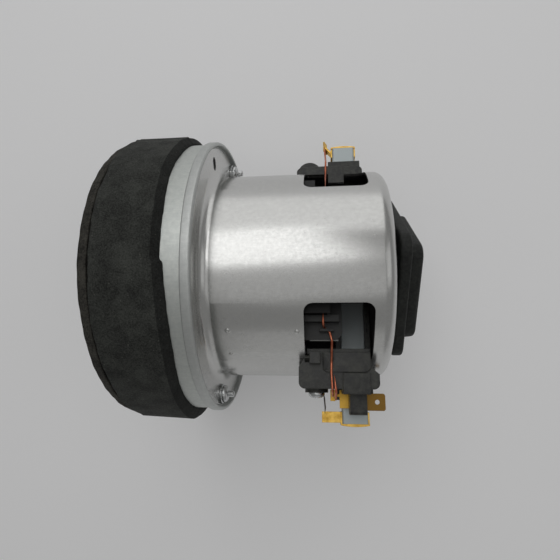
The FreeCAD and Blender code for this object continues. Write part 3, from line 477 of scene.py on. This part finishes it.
def soft_corners(corners, radii, steps=6):
    """Closed polyline whose corner i is an arc of radii[i] that meets both its sides."""
    c = np.array(corners, float)
    radius = np.array(radii, float)
    to_last = unit(np.roll(c, 1, 0) - c)
    to_next = unit(np.roll(c, -1, 0) - c)
    half = np.arccos(np.clip((to_last * to_next).sum(1), -1, 1)) / 2
    reach = radius / np.tan(half)
    centre = c + unit(to_last + to_next) * (radius / np.sin(half))[:, None]
    start = c + to_last * reach[:, None] - centre
    end = c + to_next * reach[:, None] - centre
    t = np.linspace(0, 1, steps + 1)[None, :, None]
    span = (math.pi - 2 * half)[:, None, None]
    safe = np.where(np.sin(span) < 1e-9, 1, np.sin(span))
    arc = (start[:, None] * np.sin((1 - t) * span) + end[:, None] * np.sin(t * span)) / safe
    return (centre[:, None] + arc).reshape(-1, c.shape[1])


# %% [markdown]
# A round sheet part is a profile carried round the shaft, with the soft corners that a drawing or
# rolling die leaves. A wire is the same the other way round: a circle carried along a path.

# %% Turned and swept surfaces
def round_part(name, corners, finish, columns=256, steps=6, shape=None):
    """Closed solid of revolution about X: point = (x, r sin a, r cos a), with an optional reshaping."""
    profile = soft_corners([k[:2] for k in corners], [k[2] for k in corners], steps)
    a = np.linspace(0, 2 * math.pi, columns, endpoint=False)[None, :]
    x = np.repeat(profile[:, :1], columns, 1)
    r = np.repeat(profile[:, 1:], columns, 1)
    angle = np.repeat(a, len(profile), 0)
    if shape is not None:
        x, r = shape(x, r, angle)
    points = np.stack([x, r * np.sin(angle), r * np.cos(angle)], -1)
    return new_piece(name, points, grid_quads(len(profile), columns, True), finish)


def wire(name, points, radius, bend, finish, beside=(1.0, 0.0, 0.0), columns=12):
    """Wire along an open path: a circle in the plane across the path, with arcs of radius bend.

    The first and last circles shrink to a twentieth, so the ends look closed."""
    if bend:
        steps = 6
        radii = [0.0] + [bend] * (len(points) - 2) + [0.0]
        path = soft_corners(points, radii, steps)[steps:-steps]
    else:
        path = np.asarray(points, float)
    along = unit(np.gradient(path, axis=0))
    side = unit(np.cross(along, beside))
    other = np.cross(along, side)
    a = np.linspace(0, 2 * math.pi, columns, endpoint=False)[None, :, None]
    size = np.full(len(path), radius)
    size[[0, -1]] = radius * 0.05
    rows = path[:, None] + size[:, None, None] * (side[:, None] * np.cos(a) + other[:, None] * np.sin(a))
    print(name, "is", round(float(np.linalg.norm(np.diff(path, axis=0), axis=1).sum()), 1), "mm long")
    return new_piece(name, rows, grid_quads(len(path), columns), finish, "housing", 60)


# %% [markdown]
# The shroud is one drawn cup with a turned-in eye. Only its outside rim shows in the photograph,
# between the rubber band and the can's lip.

# %% Fan shroud
shroud = round_part("shroud_cup", [
    (8.6, 17.0, 0.2), (4.0, 17.0, 3.0), (4.0, SHROUD_R, 2.4), (33.3, SHROUD_R, 0.2), (33.3, 54.7, 0.2),
    (4.8, 54.7, 1.6), (4.8, 17.8, 2.2), (8.6, 17.8, 0.2)], shroud_metal)
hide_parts("fan_shroud")
print("shroud quads:", len(shroud.data.polygons))


# %% [markdown]
# The can's windows, slots and brush openings are cut with rounded prisms after the cup is made, as a
# press does it. A cut leaves long thin triangles in the round wall, so the wall gets the true normals
# of its cylinder back.

# %% Cutting tools
def prism(name, half_x, half_q, corner, low, high, centre_x, degrees, columns=9):
    """Rounded rectangle carried outwards: outline = corner centre + radius * direction, at two heights."""
    t = np.linspace(0, math.pi / 2, columns)
    start = np.array([0, 1, 2, 3])[:, None] * math.pi / 2
    t = (start + t[None, :]).ravel()
    sign_x = np.repeat([1, -1, -1, 1], columns)
    sign_q = np.repeat([1, 1, -1, -1], columns)
    x = sign_x * (half_x - corner) + corner * np.cos(t)
    q = sign_q * (half_q - corner) + corner * np.sin(t)
    n = len(t)
    turn = math.radians(degrees)
    points = []
    for h in (low, high):
        y = q * math.cos(turn) + h * math.sin(turn)
        z = -q * math.sin(turn) + h * math.cos(turn)
        points.append(np.stack([centre_x + x, y, z], -1))
    mesh = bpy.data.meshes.new(name)
    sides = grid_quads(2, n).tolist()
    mesh.from_pydata((np.concatenate(points) * MM).tolist(), [],
                     sides + [list(range(n)), list(range(2 * n - 1, n - 1, -1))])
    tool = bpy.data.objects.new(name, mesh)
    bpy.context.collection.objects.link(tool)
    return tool


def drill(name, half_t, half_r, corner, low_x, high_x, degrees, radius):
    """Rounded prism along X at a radius and angle: the prism tool with its axes swapped."""
    tool = prism(name, half_t, half_r, corner, low_x, high_x, 0.0, 0.0)
    co = np.zeros(len(tool.data.vertices) * 3)
    tool.data.vertices.foreach_get("co", co)
    side, q, x = (co.reshape(-1, 3) / MM).T
    a = math.radians(degrees)
    r = radius + q
    y = r * math.sin(a) + side * math.cos(a)
    z = r * math.cos(a) - side * math.sin(a)
    tool.data.vertices.foreach_set("co", (np.stack([x, y, z], -1) * MM).ravel())
    return tool


def cut(piece, tools):
    """Cut every tool from the piece and keep the result as its mesh."""
    for tool in tools:
        work = bmesh.new()
        work.from_mesh(tool.data)
        bmesh.ops.recalc_face_normals(work, faces=work.faces)
        work.to_mesh(tool.data)
        work.free()
        step = piece.modifiers.new("cut", "BOOLEAN")
        step.operation = "DIFFERENCE"
        step.solver = "EXACT"
        step.object = tool
    graph = bpy.context.evaluated_depsgraph_get()
    done = bpy.data.meshes.new_from_object(piece.evaluated_get(graph))
    piece.modifiers.clear()
    piece.data = done
    for tool in tools:
        bpy.data.objects.remove(tool)


def round_normals(mesh, bands):
    """Give walls that lie on a cylinder about the shaft their true normals.

    bands lists (radius, low x, high x, sign): where all corners of a face lie on that cylinder,
    each corner's normal is sign * (0, y, z) / r."""
    count = len(mesh.vertices)
    co = np.zeros(count * 3)
    mesh.vertices.foreach_get("co", co)
    co = co.reshape(-1, 3) / MM
    r = np.hypot(co[:, 1], co[:, 2])
    loops = np.zeros(len(mesh.loops), int)
    mesh.loops.foreach_get("vertex_index", loops)
    normals = np.zeros(len(mesh.loops) * 3)
    mesh.corner_normals.foreach_get("vector", normals)
    normals = normals.reshape(-1, 3)
    totals = np.zeros(len(mesh.polygons), int)
    mesh.polygons.foreach_get("loop_total", totals)
    face_of = np.repeat(np.arange(len(totals)), totals)
    for radius, low, high, sign in bands:
        on = (abs(r - radius) < 0.02) & (co[:, 0] > low - 0.01) & (co[:, 0] < high + 0.01)
        bad = np.bincount(face_of, weights=~on[loops], minlength=len(totals)) > 0
        use = ~bad[face_of]
        v = co[loops[use]] / r[loops[use], None]
        v[:, 0] = 0
        normals[use] = sign * v
    mesh.normals_split_custom_set(normals.tolist())


# %% [markdown]
# The can is drawn in one piece with its flange, its rim is rolled back over the shroud, and its bottom
# has the pocket of the rear bearing. It is one closed profile carried round the shaft, the outside
# first. The far windows are the near ones turned half a turn.

# %% Motor can
INNER_R = CAN_R - CAN_WALL
INNER_X = CAN_REAR_X - CAN_WALL
can = round_part("drawn_can", [
    (32.6, 55.55, 0.1), (32.6, 56.4, 0.4), (36.1, 56.4, 1.0), (36.1, 54.9, 0.4), (34.0, 54.9, 0.1),
    (34.0, 54.3, 0.1), (FLANGE_X, 54.2, 0.2), (FLANGE_X, CAN_R, 3.6), (CAN_REAR_X, CAN_R, 4.5),
    (101.4, 14.0, 2.0), (101.4, 12.0, 0.4), (109.6, 12.0, 1.2), (109.6, 7.4, 0.3), (108.6, 7.4, 0.2),
    (108.6, 11.0, 0.4), (INNER_X, 11.0, 0.5), (INNER_X, INNER_R, 3.5), (33.4, INNER_R, 4.6),
    (33.4, 55.55, 0.1)], can_metal, columns=360, steps=8)
WINDOWS = ((-48.6, -13.0), (48.5, 84.1), (131.4, 167.0), (228.5, 264.1))
WINDOW_X = 81.65
tools = []
for low_deg, high_deg in WINDOWS:
    half_width = CAN_R * math.sin(math.radians((high_deg - low_deg) / 2))
    tools.append(prism("window", 11.85, half_width, 3.1, 24.0, 50.0, WINDOW_X, (low_deg + high_deg) / 2))
for degrees, middle in GEAR.values():
    tools.append(prism("brush_opening", 7.3, 5.8, 0.5, 36.0, 50.0, middle, degrees))
for degrees in (67.0, 247.0):
    tools.append(drill("slot", 2.1, 2.55, 2.05, 32.0, 36.0, degrees, 48.4))
cut(can, tools)
can.data.shade_smooth()
can.data.set_sharp_from_angle(angle=math.radians(35))
round_normals(can.data, [(CAN_R, 38.0, 96.4, 1), (INNER_R, 38.0, 96.4, -1)])
print("can faces:", len(can.data.polygons))


# %% [markdown]
# The rolled lip is duller than the wall, because rolling scuffs it. Inside, the can is black with carbon
# dust and painted shade. Where a face lies and points says which it is.

# %% Finishes of the can
def finish_faces(mesh, finish, test):
    """Give the faces that pass the test a further finish; test takes centres in mm and normals."""
    centre = np.zeros(len(mesh.polygons) * 3)
    normal = np.zeros(len(mesh.polygons) * 3)
    slot = np.zeros(len(mesh.polygons), int)
    mesh.polygons.foreach_get("center", centre)
    mesh.polygons.foreach_get("normal", normal)
    mesh.polygons.foreach_get("material_index", slot)
    chosen = test(centre.reshape(-1, 3) / MM, normal.reshape(-1, 3))
    slot[chosen] = len(mesh.materials)
    mesh.materials.append(finish)
    mesh.polygons.foreach_set("material_index", slot)
    print(finish.name, "on", int(chosen.sum()), "faces")


def on_lip(p, n):
    """The rolled lip: everything further out than the flange's groove."""
    groove_r = 54.0
    return np.hypot(p[:, 1], p[:, 2]) > groove_r


def in_soot_and_shade(p, n):
    """Walls inside the can, for carbon dust and painted shade: dot(normal, p - middle) under -5 mm."""
    middle = (60.0, 0.0, 0.0)
    facing = ((p - middle) * n).sum(1)
    return (facing < -5) & (np.hypot(p[:, 1], p[:, 2]) < CAN_R - 0.3)


finish_faces(can.data, rolled_metal, on_lip)
# Painted shade, partly carbon dust: the inner walls get the dark finish.
finish_faces(can.data, sooty_shaded_metal, in_soot_and_shade)
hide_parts("motor_can")


# %% [markdown]
# Punch marks lock the field core in the can. Each is a small crater: a raised ring round a pit.

# %% Punch marks
def punch_mark(name, x, degrees, size):
    """Crater: height(r) = ring * exp(-((r - 0.62 size) / 0.2 size)^2) - pit * exp(-(r / 0.4 size)^2)."""
    rings, columns = 22, 28
    r = np.linspace(0.02, 1.6, rings)[:, None] * size
    a = np.linspace(0, 2 * math.pi, columns, endpoint=False)[None, :]
    height = 0.28 * np.exp(-((r - 0.62 * size) / (0.2 * size)) ** 2) - 0.5 * np.exp(-(r / (0.4 * size)) ** 2)
    side = r * np.sin(a)
    out = np.sqrt(CAN_R ** 2 - side ** 2) + height + 0.02 - 0.06 * (r / (1.6 * size)) ** 4
    g = math.radians(degrees)
    y = side * math.cos(g) + out * math.sin(g)
    z = out * math.cos(g) - side * math.sin(g)
    points = np.stack([x + r * np.cos(a), y, z], -1)
    return new_piece(name, points, grid_quads(rings, columns)[:, ::-1], can_metal, "housing", 60)


marks = [punch_mark("punch_mark_front", 43.3, -26.9, 0.95), punch_mark("punch_mark_rear", 67.4, -27.5, 0.85),
         punch_mark("punch_mark_low", 43.0, -42.0, 0.7)]
print("punch marks:", len(marks))


# %% [markdown]
# The black strip is glued round the shroud by hand. Its edges wander, its ends meet at a kink, and the
# seam against the foam ring in front gapes in places over the glue. All of that is a slow sum of sines
# of the angle added to the profile, plus a swelling at chosen angles.

# %% Foam ring and rubber strip
def wander(angle, waves, seed):
    """Slow irregular line round the part: a sum of sines with seeded phases."""
    rng = np.random.default_rng(seed)
    total = np.zeros_like(angle)
    for count, size in waves:
        total = total + size * np.sin(count * angle + rng.uniform(0, 2 * math.pi))
    return total


def swell(angle, degrees, width):
    """Bell round one angle: exp(-(d / width)^2), with d the signed difference in degrees."""
    d = (np.degrees(angle) - degrees + 180) % 360 - 180
    return np.exp(-(d / width) ** 2)


def gape(angle):
    """Width of the open seam in mm: never less than a hairline."""
    slow = wander(angle, [(5, 0.12), (9, 0.1), (17, 0.08), (31, 0.07), (67, 0.06)], 12)
    return np.maximum(0.12, 0.2 + slow + 0.9 * swell(angle, 35, 6) + 0.45 * swell(angle, -38, 9))


def strip_shape(x, r, angle):
    """Strip: the outside swells and sinks, and the rear edge steps back where the ends meet.

    Each of outer, rear, front and flare goes from 0 to 1 towards its side of the strip, so a change
    in r or x fades out before it reaches the other side."""
    outer = np.clip((r - SHROUD_R) / 3.1, 0, 1)
    rear = np.clip((x - 20) / 5.6, 0, 1)
    front = np.clip((6.5 - x) / 2.5, 0, 1)
    flare = np.clip((x - 8) / 17, 0, 1)
    joint = 4.8
    past_joint = np.tanh(((np.degrees(angle) + 180) % 360 - 180 - joint) / 0.5)
    below = 0.5 - 0.5 * past_joint
    r = r + outer * wander(angle, [(3, 0.1), (7, 0.07), (19, 0.05), (43, 0.04)], 4)
    r = r + outer * front * (0.7 * swell(angle, 70.5, 1.6) + 0.5 * swell(angle, 66.5, 1.0))
    r = r + outer * front * (0.6 * swell(angle, -69.0, 1.8) + 0.5 * swell(angle, -73.5, 1.2))
    r = r + outer * rear * (0.45 * swell(angle, 69.5, 1.2) - 0.2 * swell(angle, joint, 9.0) * past_joint)
    r = r + outer * flare * 1.2 * swell(angle, -72, 15)
    x = x + rear * (2.0 * below * swell(angle, -19, 26) - 0.5 * swell(angle, 38, 12))
    x = x + rear * wander(angle, [(13, 0.05), (37, 0.05), (83, 0.03)], 8)
    x = x + front * gape(angle)
    return x, np.maximum(r, SHROUD_R)


def ring_shape(x, r, angle):
    """Foam: cut by hand, so the outer edge is uneven by a few tenths and shrinks from the seam."""
    outer = np.clip((r - 50) / 6, 0, 1)
    rear = np.clip((x - 3.0) / 0.9, 0, 1)
    r = r + outer * wander(angle, [(4, 0.14), (11, 0.1), (29, 0.08), (61, 0.06)], 3)
    r = r - outer * rear * 0.5 * swell(angle, 35, 7)
    return x - rear * outer * 0.3 * gape(angle), r


def on_cut(p, n):
    """The strip's rear face, where the sheet was cut, darker as a fresh cut and as painted shade."""
    return (n[:, 0] > 0.3) & (p[:, 0] > 20)


strip = round_part("rubber_strip", [
    (4.0, SHROUD_R, 0.1), (4.1, 58.5, 0.5), (24.3, 58.6, 0.3), (26.1, 56.4, 0.5),
    (26.3, SHROUD_R, 0.1)], band_rubber, columns=720, steps=5, shape=strip_shape)
# Painted shade, partly a fresh cut: the strip's rear face gets the darker rubber.
finish_faces(strip.data, cut_shaded_rubber, on_cut)
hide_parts("seal_band")
foam = round_part("foam_ring", [
    (0.0, 38.0, 0.3), (0.0, 56.7, 0.6), (3.9, 58.1, 0.3), (3.9, 38.0, 0.3)],
    foam_rubber, columns=720, steps=4, shape=ring_shape)
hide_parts("front_seal_ring")
glue = round_part("seam_glue_bead", [
    (3.0, 54.0, 0.2), (3.0, 56.9, 0.5), (5.6, 57.2, 0.5), (5.6, 55.6, 0.2), (4.6, 54.0, 0.2)],
    seam_glue, columns=360, steps=4)
print("strip, foam and glue quads:", [len(k.data.polygons) for k in (strip, foam, glue)])


# %% [markdown]
# The rear block is moulded rubber: a rounded square with a smaller rounded square on it. Each step of
# the profile insets the same outline, so every edge and corner stays evenly round. A circle is a
# rounded square whose corner radius is its half side, so the bore is in the same stack.

# %% Rear rubber block
def square_block(name, levels, degrees, finish, count=12):
    """Closed stack of rounded squares about X: levels lists (x, half side, corner radius, inset)."""
    t = (np.arange(4)[:, None] * math.pi / 2 + np.linspace(0, math.pi / 2, count)[None, :]).ravel()
    x, half, corner, inset = (np.array(k)[:, None] for k in zip(*levels))
    u = np.repeat([1, -1, -1, 1], count) * (half - corner) + (corner - inset) * np.cos(t)
    v = np.repeat([1, 1, -1, -1], count) * (half - corner) + (corner - inset) * np.sin(t)
    a = math.radians(degrees)
    y = u * math.cos(a) + v * math.sin(a)
    z = v * math.cos(a) - u * math.sin(a)
    points = np.stack([x + 0 * u, y, z], -1)
    return new_piece(name, points, grid_quads(len(levels), len(t), True), finish, "housing", 50)


def rolled(x_flat, half, corner, radius, way, steps=6):
    """Levels of a rounded edge: inset = radius (1 - cos t), x = x_flat - way radius (1 - sin t)."""
    t = np.linspace(0, math.pi / 2, steps)
    return [(x_flat - way * radius * (1 - math.sin(k)), half, corner, radius * (1 - math.cos(k))) for k in t]


BLOCK_DEG = -27.0
block = square_block("rear_rubber_block", [
    (101.6, 12.1, 12.1, 0.0), (101.6, 17.0, 17.0, 0.0), (103.5, 17.0, 17.0, 0.0),
    *rolled(103.5, 26.2, 6.8, 0.9, -1)[::-1], *rolled(107.6, 26.2, 6.8, 1.0, 1),
    (107.6, 21.6, 5.5, 0.0), (107.9, 20.7, 5.5, 0.0), *rolled(113.1, 20.4, 5.5, 1.7, 1),
    (113.1, 7.4, 7.4, 0.0), (112.7, 7.0, 7.0, 0.0), (109.7, 7.0, 7.0, 0.0), (109.7, 12.1, 12.1, 0.0)],
    BLOCK_DEG, mount_rubber)
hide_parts("rear_mount")
print("rear block quads:", len(block.data.polygons))


# %% [markdown]
# Screws are turned pieces. The head is a superellipse, and a cross recess is pressed into its middle.
# The two on the flange show a short end that stands out of a round nut.

# %% Screws
def turned(name, rows, place, axis, finish, recess=0.0, columns=48, spin=20.0):
    """Turned piece: rows (n, 2) of height and radius about an axis, with a cross sunk in the middle.

    sink = recess * clip((0.45 - cross) / 0.15) * clip((2 - r) / 0.3), where cross is the distance to
    the nearer of two lines through the middle: slots 0.9 mm wide and 4 mm long with sloping sides."""
    h, r = (k[:, None] for k in np.array(rows, float).T)
    a = np.linspace(0, 2 * math.pi, columns, endpoint=False)[None, :]
    cross = np.minimum(abs(r * np.cos(a)), abs(r * np.sin(a)))
    sink = recess * np.clip((0.45 - cross) / 0.15, 0, 1) * np.clip((2.0 - r) / 0.3, 0, 1)
    w = np.array(Vector(axis).normalized())
    u = unit(np.cross(w, (0.3, 0.2, 1.0)))
    v = np.cross(w, u)
    a = a + math.radians(spin)
    points = np.array(place) + (h - sink)[..., None] * w + (r * np.cos(a))[..., None] * u
    points = points + (r * np.sin(a))[..., None] * v
    return new_piece(name, points, grid_quads(len(rows), columns), finish, "housing", 40)


def pan_head(radius, height, steps=26):
    """Rows of a pan head: (r / radius)^3 + (h / height)^3 = 1, from the middle to the seat."""
    t = np.linspace(0.002, math.pi / 2, steps)
    return np.stack([height * np.cos(t).clip(0) ** (2 / 3), radius * np.sin(t) ** (2 / 3)], -1)


def polar(degrees, radius, x):
    """Point about the shaft: 0 degrees is up and 90 degrees is +Y."""
    a = math.radians(degrees)
    return np.array((x, radius * math.sin(a), radius * math.cos(a)))


FLANGE_SCREWS_DEG = (103.5, -75.0)
WASHER_WALL = 1.0
washer = [(WASHER_WALL, 2.2), (WASHER_WALL, 3.6), (0.8, 3.9), (0.1, 3.9), (0.0, 3.7), (0.0, 2.2)]
nut = pan_head(3.4, 2.2)
end = [(4.4, 0.05), (4.4, 1.0), (4.1, 1.3), (2.2, 1.3)]
rows = np.concatenate([end, nut[nut[:, 1] > 1.4], [(0.0, 2.0), (-2.8, 2.0), (-2.8, 0.1)]])
shaft_way = (1, 0, 0)
for number, degrees in enumerate(FLANGE_SCREWS_DEG):
    seat = polar(degrees, FLANGE_SCREW_R, FLANGE_X)
    turned(f"flange_washer_{number}", washer, seat, shaft_way, screw_metal)
    seat = seat + (WASHER_WALL, 0, 0)
    turned(f"flange_screw_{number}", rows, seat, shaft_way, screw_metal)
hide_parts("flange_screws")


# %% [markdown]
# The brush gear has its own frame: X along the shaft from the brush, T across and S outward. One
# function takes points from it to the motor, so both sets share their numbers.

# %% Brush gear
def gear(points, which="lower"):
    """Points (x, t, s) of the gear frame to mm about the shaft, at that gear's angle a.

    y = s sin a + t cos a and z = s cos a - t sin a."""
    x, t, s = np.moveaxis(np.asarray(points, float), -1, 0)
    degrees, middle = GEAR[which]
    a = math.radians(degrees)
    return np.stack([x + middle, s * math.sin(a) + t * math.cos(a), s * math.cos(a) - t * math.sin(a)], -1)


def slide_axis(which):
    """Direction in which that gear's brush slides out, as a unit vector."""
    return gear((0, 0, 1), which) - gear((0, 0, 0), which)


for which in GEAR:
    head = turned(f"{which}_holder_screw", np.concatenate([pan_head(3.1, 2.1), [(0.0, 0.2)]]),
                  gear((-14.6, 8.0, 48.9), which), slide_axis(which), screw_metal, 0.9)
    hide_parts(f"{which}_screw")
    print(head.name, "quads:", len(head.data.polygons))


# %% [markdown]
# Each holder has small mouldings on it: a ledge and a tab on its face, and a rib that steadies the tube
# in the can. Paper lines the slots of the field core, and its edge shows beside the coil frames. A pad
# is a rounded outline in x and s that is raised along t, with its top edge broken.

# %% Mouldings on the holders, slot papers
def pad(name, outline, low_t, high_t, which, finish=holder_plastic):
    """Pad: the outline scaled about its middle at each level, and to nothing at the two faces."""
    flat = soft_corners([k[:2] for k in outline], [k[2] for k in outline], 5)
    middle = flat.mean(0)
    soft = 0.2 * (high_t - low_t)
    levels = [(low_t, 0.001), (low_t, 1.0), (high_t - soft, 1.0), (high_t, 0.97), (high_t, 0.001)]
    t, size = (np.array(k)[:, None] for k in zip(*levels))
    x = middle[0] + size * (flat[:, 0] - middle[0])
    q = middle[1] + size * (flat[:, 1] - middle[1])
    points = gear(np.stack([x, t + 0 * x, q], -1), which)
    return new_piece(name, points, grid_quads(len(levels), len(flat)), finish, "housing", 30)


def box_outline(low_x, high_x, low_s, high_s, corner):
    """Rectangle in x and s with the same radius at each corner."""
    return [(x, s, corner) for x, s in ((low_x, low_s), (high_x, low_s), (high_x, high_s), (low_x, high_s))]


LEDGE = [(-12.2, 34.6, 0.3), (4.9, 34.6, 0.3), (4.9, 40.4, 1.6), (3.0, 41.7, 1.0), (-12.2, 41.7, 1.4)]
RIB = box_outline(-6.9, -4.95, 26.0, 38.0, 0.3)
TAB = box_outline(-16.9, -13.0, 34.7, 38.9, 0.4)
PAPER = box_outline(-16.6, -6.6, 30.9, 31.3, 0.05)
HOLDER_FACE_T = 20.6
pads = []
for which in GEAR:
    pads.append(pad(f"{which}_holder_ledge", LEDGE, HOLDER_FACE_T, 21.4, which))
    pads.append(pad(f"{which}_tube_rib", RIB, -3.5, 3.5, which))
    pads.append(pad(f"{which}_holder_tab", TAB, HOLDER_FACE_T, 23.6, which))
for place, side in (("near", 1), ("far", -1)):
    pads.append(pad(f"{place}_slot_paper", PAPER, side * 26.0, side * 26.6, "lower", slot_paper))
print("pads and papers:", len(pads))


# %% [markdown]
# The leads are bare copper, bent by hand, and the link is a thin varnished wire. The real lead is
# doubled where it is hooked on the terminal.

# %% Leads and link
lead = wire("lower_copper_lead", gear([
    (-11.9, 30.6, 21.4), (-11.9, 30.6, 25.6), (-11.6, 27.2, 26.9), (-9.7, 27.2, 28.0), (-8.9, 27.2, 31.4),
    (-9.1, 21.9, 38.1), (-9.2, 21.9, 42.0), (-8.9, 22.3, 48.0), (-8.6, 13.0, 50.0), (-8.3, 7.1, 50.6)]),
    0.42, 1.2, copper)
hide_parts("lower_lead")
wire("lower_lead_return", gear([
    (-8.2, 22.2, 42.6), (-7.7, 22.9, 48.4), (-7.5, 12.5, 51.0), (-7.2, 7.0, 51.8)]), 0.45, 1.0, copper)
lead = wire("upper_copper_lead", gear([
    (-8.8, -33.5, 23.5), (-8.4, -18.3, 38.1), (-8.2, -17.4, 44.4), (-8.1, -9.4, 50.5), (-8.2, -3.4, 56.7),
    (-8.3, -2.3, 62.0)], "upper"), 0.38, 1.4, copper)
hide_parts("upper_lead")
link = wire("varnished_link", gear([
    (-11.9, 10.7, 48.9), (-11.7, 9.8, 51.2), (-11.4, 4.4, 54.6), (-11.6, 2.3, 57.2)]), 0.28, 0.8, dark_wire)
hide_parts("link_wire")


# %% [markdown]
# Each brush spring is a close helix between the brush and the end clip, hidden in the tube.

# %% Brush springs
def helix(radius, low, high, turns, samples=36):
    """Path (radius cos a, radius sin a, s) that climbs from low to high, flat at both ends."""
    k = np.linspace(0, 1, turns * samples + 1)
    a = 2 * math.pi * turns * k
    climb = np.clip((k * turns - 1) / (turns - 2), 0, 1)
    return np.stack([radius * np.cos(a), radius * np.sin(a), low + (high - low) * climb], -1)


SEAT = 0.32
BRUSH_BACK_S = 31.65
CAP_S = {"lower": 60.4, "upper": 59.5}
for which in GEAR:
    low = BRUSH_BACK_S + SEAT
    high = CAP_S[which] - SEAT
    outward = tuple(slide_axis(which))
    spring = wire(f"{which}_spring_helix", gear(helix(2.7, low, high, 13), which), 0.3, 0, screw_metal,
                  outward, 8)
    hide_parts(f"{which}_spring")
    end = tuple((gear((0, 0, high + SEAT), which) * MM).tolist())
    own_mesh(spring)


# %% [markdown]
# The motor lies on a pale table under soft light. The table glows a little for the camera and in
# reflections only, so it looks as white as in the photograph and adds no light to the motor.

# %% Floor, light and sky
floor_mesh = bpy.data.meshes.new("floor")
floor_mesh.from_pydata([(-3, -3, 0), (3, -3, 0), (3, 3, 0), (-3, 3, 0)], [], [(0, 1, 2, 3)])
floor = bpy.data.objects.new("floor", floor_mesh)
floor.location.z = FLOOR_Z * MM
bpy.context.collection.objects.link(floor)
paper, paper_tree, _ = new_material("pale_table")
ray = add(paper_tree, "ShaderNodeLightPath")
mirrored = add(paper_tree, "ShaderNodeMath", {"operation": "MULTIPLY", 1: 0.07},
               {0: ray.outputs["Is Glossy Ray"]})
glow = add(paper_tree, "ShaderNodeMath", {"operation": "MULTIPLY_ADD", 1: 0.1},
           {0: ray.outputs["Is Camera Ray"], 2: mirrored.outputs[0]})
shade(paper_tree, {"Base Color": linear("#f0f0f1"), "Roughness": 0.8, "Emission Color": linear("#ffffff")},
      {"Emission Strength": glow.outputs[0]})
floor_mesh.materials.append(paper)


def soft_box(name, place, size, power):
    """Square area light that looks at the motor's middle."""
    target = (0.06, 0, 0)
    light = bpy.data.lights.new(name, "AREA")
    light.size = size
    light.energy = power
    lamp = bpy.data.objects.new(name, light)
    lamp.location = place
    lamp.rotation_euler = (Vector(target) - Vector(place)).to_track_quat("-Z", "Y").to_euler()
    bpy.context.collection.objects.link(lamp)
    return lamp


soft_box("key_light", (-0.03, 0.305, 0.575), 0.43, 0.73)
soft_box("window_light", (0.1, 1.05, 0.4), 0.95, 1.85)
soft_box("low_light", (0.1, -0.6, 0.14), 0.4, 0.07)
soft_box("rear_light", (0.62, 0.1, 0.58), 0.5, 0.26)
soft_box("ceiling_light", (0.1, -0.12, 0.9), 0.6, 0.28)
world = bpy.data.worlds.new("studio")
bpy.context.scene.world = world
world.use_nodes = True
sky = world.node_tree.nodes["Background"]
sky.inputs["Color"].default_value = linear("#cececd")
sky.inputs["Strength"].default_value = 0.37
print("lamps:", len(bpy.data.lights), "power in all:", round(sum(k.energy for k in bpy.data.lights), 2), "W")
